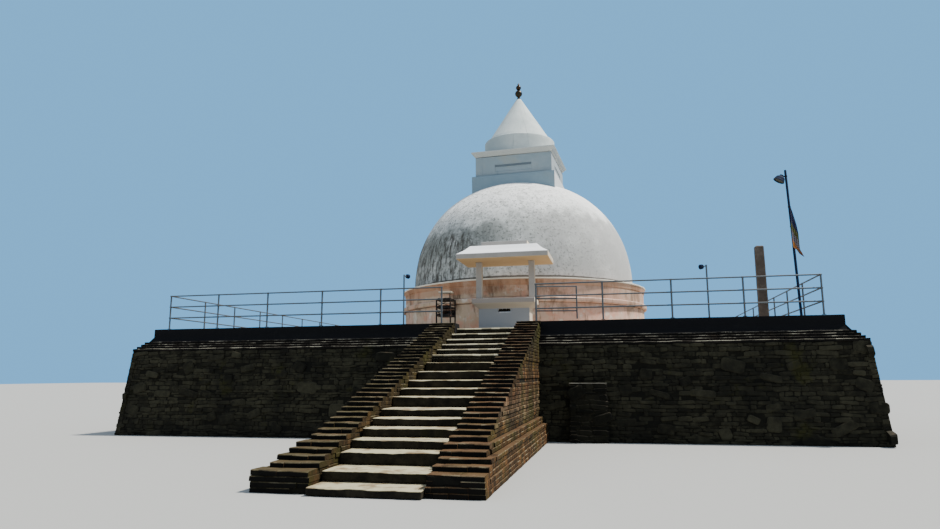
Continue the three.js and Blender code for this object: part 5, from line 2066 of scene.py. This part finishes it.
@dataclass
class Fixtures:
    """The two lamp posts and the stone pillar."""

    kit: Kit
    mast: float = 0.022
    plate: float = 0.05
    arm: float = 0.014
    arm_drop: float = 0.03
    reach: float = 0.165
    head: float = 0.066
    head_long: float = 0.09
    broken: float = 0.03

    def build(self) -> Iterator[Thing]:
        """Builds the posts and the pillar."""
        yield self._lamp_post("left")
        yield self._lamp_post("right")
        yield self._stone_pillar()

    def _lamp_post(self, side: str) -> Thing:
        """A post with an arm and a round lamp that looks at the dome."""
        node = f"lamp_post_{side}"
        foot = feet_of(node)[0]
        top = max(p.z for p in corners_of(node) if (p - foot).xy.length < 0.03)
        inward = -level_at(foot, 0.0).normalized()
        start = level_at(foot, top - self.arm_drop)
        centre = start + inward * self.reach
        r, half = self.head, self.head_long / 2
        profile = [
            (0.0, half - 0.012), (r - 0.008, half - 0.012), (r - 0.006, half), (r, half), (r, half - 0.03),
            (r - 0.004, half - 0.034), (r - 0.004, -half + 0.02), (r - 0.02, -half), (0.0, -half),
        ]
        place = Matrix.Translation(centre) @ inward.to_track_quat("Z", "Y").to_matrix().to_4x4()
        kinds = (
            ("mast", (foot, level_at(foot, top)), self.mast, 16),
            ("arm", (start, centre - inward * half), self.arm, 16),
            ("foot", (foot, foot + UP * 0.01), self.plate, 20),
        )
        parts = [
            self.kit.pipe(f"{side}_lamp_{name}", [line], size, Coat.RAIL, n) for name, line, size, n in kinds
        ]
        parts.append(turned_lamp(f"{side}_lamp_head", profile, 32, place))
        return dress(joined(f"{side}_lamp", parts), "rail_paint", node)

    def _stone_pillar(self) -> Thing:
        """The old stone pillar, tapering and broken at its top."""
        bm = cad_copy("stone_pillar")
        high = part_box("stone_pillar")[1]
        grid_cut(bm, (0.05, 0.05, 0.07))
        soften(bm, 0.012, 2)
        for vert in bm.verts:
            if vert.co.z > high.z - 0.02:
                lost = 0.4 + noise.noise(Vector((vert.co.x * 9, vert.co.y * 9, 2.0)))
                vert.co.z -= self.broken * max(0.0, lost)
        piece = from_bmesh("old_stone_pillar", bm)
        return dress(
            self.kit.plaster(piece, Coat.PILLAR, Skin(0.016, 2.5, 0.008, 14.0)), "pillar_stone", "stone_pillar",
        )


@dataclass
class FlagMast:
    """The leaning flagpole with its floodlight, and the limp flag."""

    kit: Kit
    lean: float = math.radians(1.44)
    radius: float = 0.034
    flood_at: Pair = (-0.196, 3.967)
    flood_tilt: float = math.radians(33)
    flood_bell: tuple[Pair, ...] = (
        (0.0, 0.018), (0.138, 0.018), (0.146, 0.0), (0.150, 0.0), (0.150, 0.018), (0.144, 0.024),
        (0.128, 0.075), (0.112, 0.116), (0.07, 0.150), (0.055, 0.156), (0.055, 0.186), (0.048, 0.190),
        (0.0, 0.190),
    )
    arm_high: float = 4.085
    bands: Triple = (2.66, 3.21, 4.07)
    rows: int = 96
    columns: int = 72
    pleats: float = 3.5

    def build(self) -> Iterator[Thing]:
        """Builds the pole and the flag."""
        low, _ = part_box("flagpole")
        feet = [p for p in corners_of("flagpole") if p.z < low.z + 0.01]
        foot = sum(feet, Vector()) / len(feet)
        place = Matrix.Translation(foot) @ Matrix.Rotation(-self.lean, 4, "Y")
        yield self._pole(place)
        yield self._flag(place)

    def _pole(self, place: Matrix) -> Thing:
        """The pole with its cap, the arm and the bell-shaped floodlight."""
        high = max((place.inverted() @ p).z for p in corners_of("flagpole"))
        radius = self.radius
        mast = painted(revolved("pole_mast", [
            (0.0, 0.0), (radius, 0.0), (radius, high * 0.5), (radius - 0.003, high * 0.502),
            (radius - 0.003, high - 0.02), (radius - 0.012, high - 0.004), (0.0, high),
        ], 28), Coat.POLE, sharp=40)
        mast.data.transform(place)
        x, z = self.flood_at
        aim = Matrix.Translation((x, 0.0, z)) @ Matrix.Rotation(self.flood_tilt, 4, "Y")
        lamp = turned_lamp("flood_bell", list(self.flood_bell), 40, place @ aim)
        stub = (place @ Vector((0.0, 0.0, self.arm_high)), place @ Vector((-0.13, 0.0, self.arm_high)))
        arm = self.kit.pipe("flood_arm", [stub], 0.015, Coat.POLE, 16)
        bands = [(place @ Vector((0, 0, h)), place @ Vector((0, 0, h + 0.03))) for h in self.bands]
        clamps = self.kit.pipe("pole_bands", bands, radius + 0.004, Coat.IRON, 28)
        return dress(joined("flag_mast", [mast, lamp, arm, clamps]), "pole_paint", "flagpole")

    def _flag(self, place: Matrix) -> Thing:
        """The limp flag: pleats that fill the CAD flag's outline, row by row."""
        probe = Probe("flag")
        corners = [place.inverted() @ p for p in corners_of("flag")]
        (near, low_z), (far, high_z) = (tuple(end(p[i] for p in corners) for i in (1, 2)) for end in (min, max))
        middle, deep = (near + far) / 2, (far - near) / 2 - 0.006
        bm = bmesh.new()
        grid, downs = [], []
        for row in range(self.rows + 1):
            share = row / self.rows
            z = high_z - 0.004 - (high_z - low_z - 0.008) * share
            left, right = (self._edge(probe, place, side, middle, z) for side in (-1.0, 1.0))
            width = right - left
            swell = min(1.0, width / 0.09)
            line = []
            for column in range(self.columns + 1):
                u = column / self.columns
                wander = 0.35 * share + 0.05 * noise.noise(Vector((share * 4, 0, 0)))
                phase = 2 * math.pi * (self.pleats * u + wander)
                fold = math.sin(phase) + 0.25 * math.sin(2.3 * phase + 5 * share)
                x = left + width * (u + 0.35 / self.pleats / 2 * math.sin(phase + 1.2) * u * (1 - u))
                y = middle + deep * swell * 0.78 * fold * (0.55 + 0.45 * math.sin(math.pi * u) + 0.2 * share)
                y = max(near + 0.004, min(far - 0.004, y))
                line.append(bm.verts.new(place @ Vector((min(max(x, left), right), y, z))))
                downs.append(share + 0.26 * (0.45 - u) + 0.03 * math.sin(phase))
            grid.append(line)
        for above, below in zip(grid, grid[1:]):
            for a, b, c, d in zip(above, above[1:], below[1:], below):
                bm.faces.new((a, d, c, b))
        piece = painted(from_bmesh("limp_flag", bm), Coat.FLAG)
        carry(piece, "down", downs)
        piece.data.shade_smooth()
        return dress(piece, "flag_cloth", "flag")

    def _edge(self, probe: Probe, place: Matrix, side: float, y: float, z: float) -> float:
        """How far the CAD flag reaches to one side at a height, in the pole's frame."""
        found = probe.hit(place @ Vector((side * 1.0, y, z)), place.to_3x3() @ Vector((-side, 0.0, 0.0)))
        return (place.inverted() @ found).x if found else 0.0


@dataclass
class LampStand:
    """The iron stand: legs, trays with rims, braces, a back sheet, oil lamps and a cover."""

    kit: Kit
    leg: float = 0.023
    rod: float = 0.008
    leg_top: float = 3.83
    tray_levels: Triple = (3.34, 3.57, 3.80)
    tray_rim: float = 0.045
    tray_edge: float = 0.016
    sheet_low: float = 0.006
    front_rods: tuple[Pair, ...] = ((3.60, 3.80), (3.80, 3.60), (3.46, 3.46), (3.69, 3.69), (3.36, 3.57))
    side_rods: tuple[Pair, ...] = ((3.46, 3.46), (3.69, 3.69), (3.36, 3.57), (3.57, 3.36))
    back_rods: tuple[Pair, ...] = ((3.46, 3.46), (3.69, 3.69))
    bowl: tuple[Pair, ...] = (
        (0.0, 0.0), (0.020, 0.0), (0.027, 0.006), (0.039, 0.030), (0.041, 0.056), (0.037, 0.057),
        (0.033, 0.030), (0.020, 0.016), (0.0, 0.015),
    )
    lamp_seed: int = 5

    def build(self) -> Iterator[Thing]:
        """Builds the stand, its cover and the lamps on its trays."""
        a, b, c, d = feet = feet_of("lamp_stand")
        legs = [(p, level_at(p, self.leg_top)) for p in feet]
        front, side, back = self.front_rods, self.side_rods, self.back_rods
        sides = ((a, c, front), (a, b, side), (c, d, side), (b, d, back))
        rods = [(level_at(p, low), level_at(q, top)) for p, q, levels in sides for low, top in levels]
        sheet = (Vector((b.x, b.y - 0.012, 3.36)), Vector((d.x, d.y - 0.006, 3.56)))
        yield dress(joined("oil_lamp_stand", [
            self.kit.pipe("stand_legs", legs, self.leg, Coat.IRON, 8),
            self.kit.pipe("stand_rods", rods, self.rod, Coat.IRON, 8),
            *(self._tray(f"tray_{round(z * 100)}", level_at(a, z), level_at(d, z)) for z in self.tray_levels),
            self._slab("back_sheet", sheet, Coat.IRON, 0.002),
        ]), "stand_iron", "lamp_stand")
        middle = level_at((a + d) / 2, 0.0)
        stems = [(middle + Vector((s, 0.0, 3.81)), middle + Vector((s, 0.0, 4.03))) for s in (-0.118, 0.118)]
        corner = Vector((0.203, 0.108, 0.0))
        block = (middle - corner + UP * 4.018, middle + corner + UP * (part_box("lamp_stand")[1].z - 0.002))
        yield dress(joined("stand_cover", [
            self.kit.pipe("cover_stems", stems, 0.013, Coat.IRON, 10),
            self._slab("cover_plate", block, Coat.ASH, 0.012),
        ]), "stand_iron")
        yield self._oil_lamps(a, d - a)

    def _slab(self, name: str, span: Line, coat: Coat, edge: float) -> Thing:
        """A plain slab with softened edges, from its lowest to its highest corner."""
        bm = bmesh.new()
        add_box(bm, span[1] - span[0], Matrix.Translation((span[0] + span[1]) / 2))
        soften(bm, edge, 2)
        return painted(from_bmesh(name, bm), coat)

    def _tray(self, name: str, near: Vector, far: Vector) -> Thing:
        """A flat tray with an upturned rim, between two of its corners."""
        edge = Vector((self.tray_edge, self.tray_edge, 0.0))
        low, high = near - edge, far + edge + UP * self.tray_rim
        bm = bmesh.new()
        add_box(bm, high - low, Matrix.Translation((low + high) / 2))
        lid = max(bm.faces, key=lambda f: f.calc_center_median().z)
        bmesh.ops.inset_individual(bm, faces=[lid], thickness=self.sheet_low, depth=0.0)
        wall = bmesh.ops.extrude_face_region(bm, geom=[lid])["geom"]
        for vert in (g for g in wall if isinstance(g, BMVert)):
            vert.co.z -= self.tray_rim - self.sheet_low
        bmesh.ops.delete(bm, geom=[lid], context="FACES_ONLY")
        bmesh.ops.recalc_face_normals(bm, faces=bm.faces)
        return painted(from_bmesh(name, bm), Coat.IRON)

    def _oil_lamps(self, corner: Vector, size: Vector) -> Thing:
        """Small clay lamps, black with soot, set in rows on the trays."""
        bowl = revolved("lamp_bowl", self.bowl, 12)
        rng = np.random.default_rng(self.lamp_seed)
        points = [
            Vector((corner.x + size.x * (column + 0.7) / 4.4, corner.y + size.y * (row + 0.6) / 6.2, z + 0.006))
            for z in self.tray_levels for column in range(4) for row in range(6) if rng.random() < 0.85
        ]
        lamps = from_points("clay_oil_lamps", points)
        self.kit.copies.apply(lamps, Model=bowl, Spin=math.tau, Seed=3, Material=Coat.IRON.material)
        bpy.data.objects.remove(bowl)
        return dress(lamps, "stand_iron")


# The stage


def kept_nodes() -> Iterator[Thing]:
    """Gives the CAD nodes that keep their shapes their finishes."""
    coats = {"terrace_floor": Coat.PAVING, "terrace_fill": Coat.EARTH, "stair_core": Coat.EARTH}
    for node, coat in coats.items():
        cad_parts[node].data.materials.clear()
        yield painted(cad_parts[node], coat)


@dataclass
class Studio:
    """The plain floor, the soft lights and the camera."""

    eye: Triple = (3.515, -25.493, 1.65)
    pitch: float = 0.1636
    yaw: float = 0.2158
    roll: float = -0.0052
    lens: float = 25.76
    sensor: float = 36.0
    key_from: Triple = (0.50, 0.16, 0.85)
    key_energy: float = 7.5
    key_soft: float = math.radians(3)
    key_tint: Triple = (1.0, 0.96, 0.90)
    sky: Triple = (0.56, 0.68, 0.84)
    sky_strength: float = 0.95
    backdrop: Triple = (0.20, 0.56, 1.0)
    floor: Triple = (0.36, 0.36, 0.34)
    floor_half: float = 160.0

    def build(self) -> None:
        """Sets the stage."""
        self._floor()
        self._lights()
        self._camera()

    def _floor(self) -> None:
        """A wide pale floor just under the walls."""
        bm = bmesh.new()
        bmesh.ops.create_grid(bm, x_segments=1, y_segments=1, size=self.floor_half)
        floor = from_bmesh("studio_floor", bm)
        floor.data.transform(Matrix.Translation((0, 0, -0.002)))
        material = bpy.data.materials.new("Pale studio floor")
        material.use_nodes = True
        shader = next(n for n in material.node_tree.nodes if n.type == "BSDF_PRINCIPLED")
        shader.inputs["Base Color"].default_value = (*self.floor, 1.0)
        shader.inputs["Roughness"].default_value = 0.95
        floor.data.materials.append(material)
        floor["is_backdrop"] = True

    def _lights(self) -> None:
        """A high soft key from the right and an even pale surround."""
        data = bpy.data.lights.new("Key", "SUN")
        data.energy, data.angle, data.color = self.key_energy, self.key_soft, self.key_tint
        key = new_object("Key", data)
        key.rotation_mode = "QUATERNION"
        key.rotation_quaternion = Vector(self.key_from).to_track_quat("Z", "Y")
        world = bpy.data.worlds.new("Studio")
        world.use_nodes = True
        w = Wiring(world.node_tree)
        seen = w.add("ShaderNodeLightPath").outputs["Is Camera Ray"]
        shade = next(n for n in world.node_tree.nodes if n.type == "BACKGROUND")
        light = tuple(c * self.sky_strength for c in self.sky)
        world.node_tree.links.new(w.mix(seen, light, self.backdrop), shade.inputs["Color"])
        bpy.context.scene.world = world

    def _camera(self) -> None:
        """The camera at the photograph's place, angle and field of view."""
        data = bpy.data.cameras.new("View")
        data.sensor_width, data.lens, data.clip_end = self.sensor, self.lens, 500.0
        camera = new_object("View", data)
        place = Matrix.Translation(self.eye)
        for angle, axis in ((self.yaw, "Z"), (math.pi / 2 + self.pitch, "X"), (self.roll, "Z")):
            place = place @ Matrix.Rotation(angle, 4, axis)
        camera.matrix_world = place
        bpy.context.scene.camera = camera


def write_sizes() -> None:
    """Finds the CAD model's box and the visual model's box, and keeps neither.
    """
    boxes = {"cad": CAD_BOX, "visual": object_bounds()}
    {name: [list(corner) for corner in box] for name, box in boxes.items()}


def main() -> None:
    """Builds the stupa's looks, one sub-assembly after another."""
    logging.basicConfig(level=logging.INFO, format="%(name)s: %(message)s")
    Studio().build()
    kit = Kit()
    mix_coats()
    assemblies = (RetainingWalls, Stair, Drum, Dome, Crown, Altar, Railings, Fixtures, FlagMast, LampStand)
    for piece in chain(kept_nodes(), *(assembly(kit).build() for assembly in assemblies)):
        log.info("%s: %d faces", piece.name, len(piece.data.polygons))
    kit.put_away()
    write_sizes()


if __name__ == "__main__":
    main()
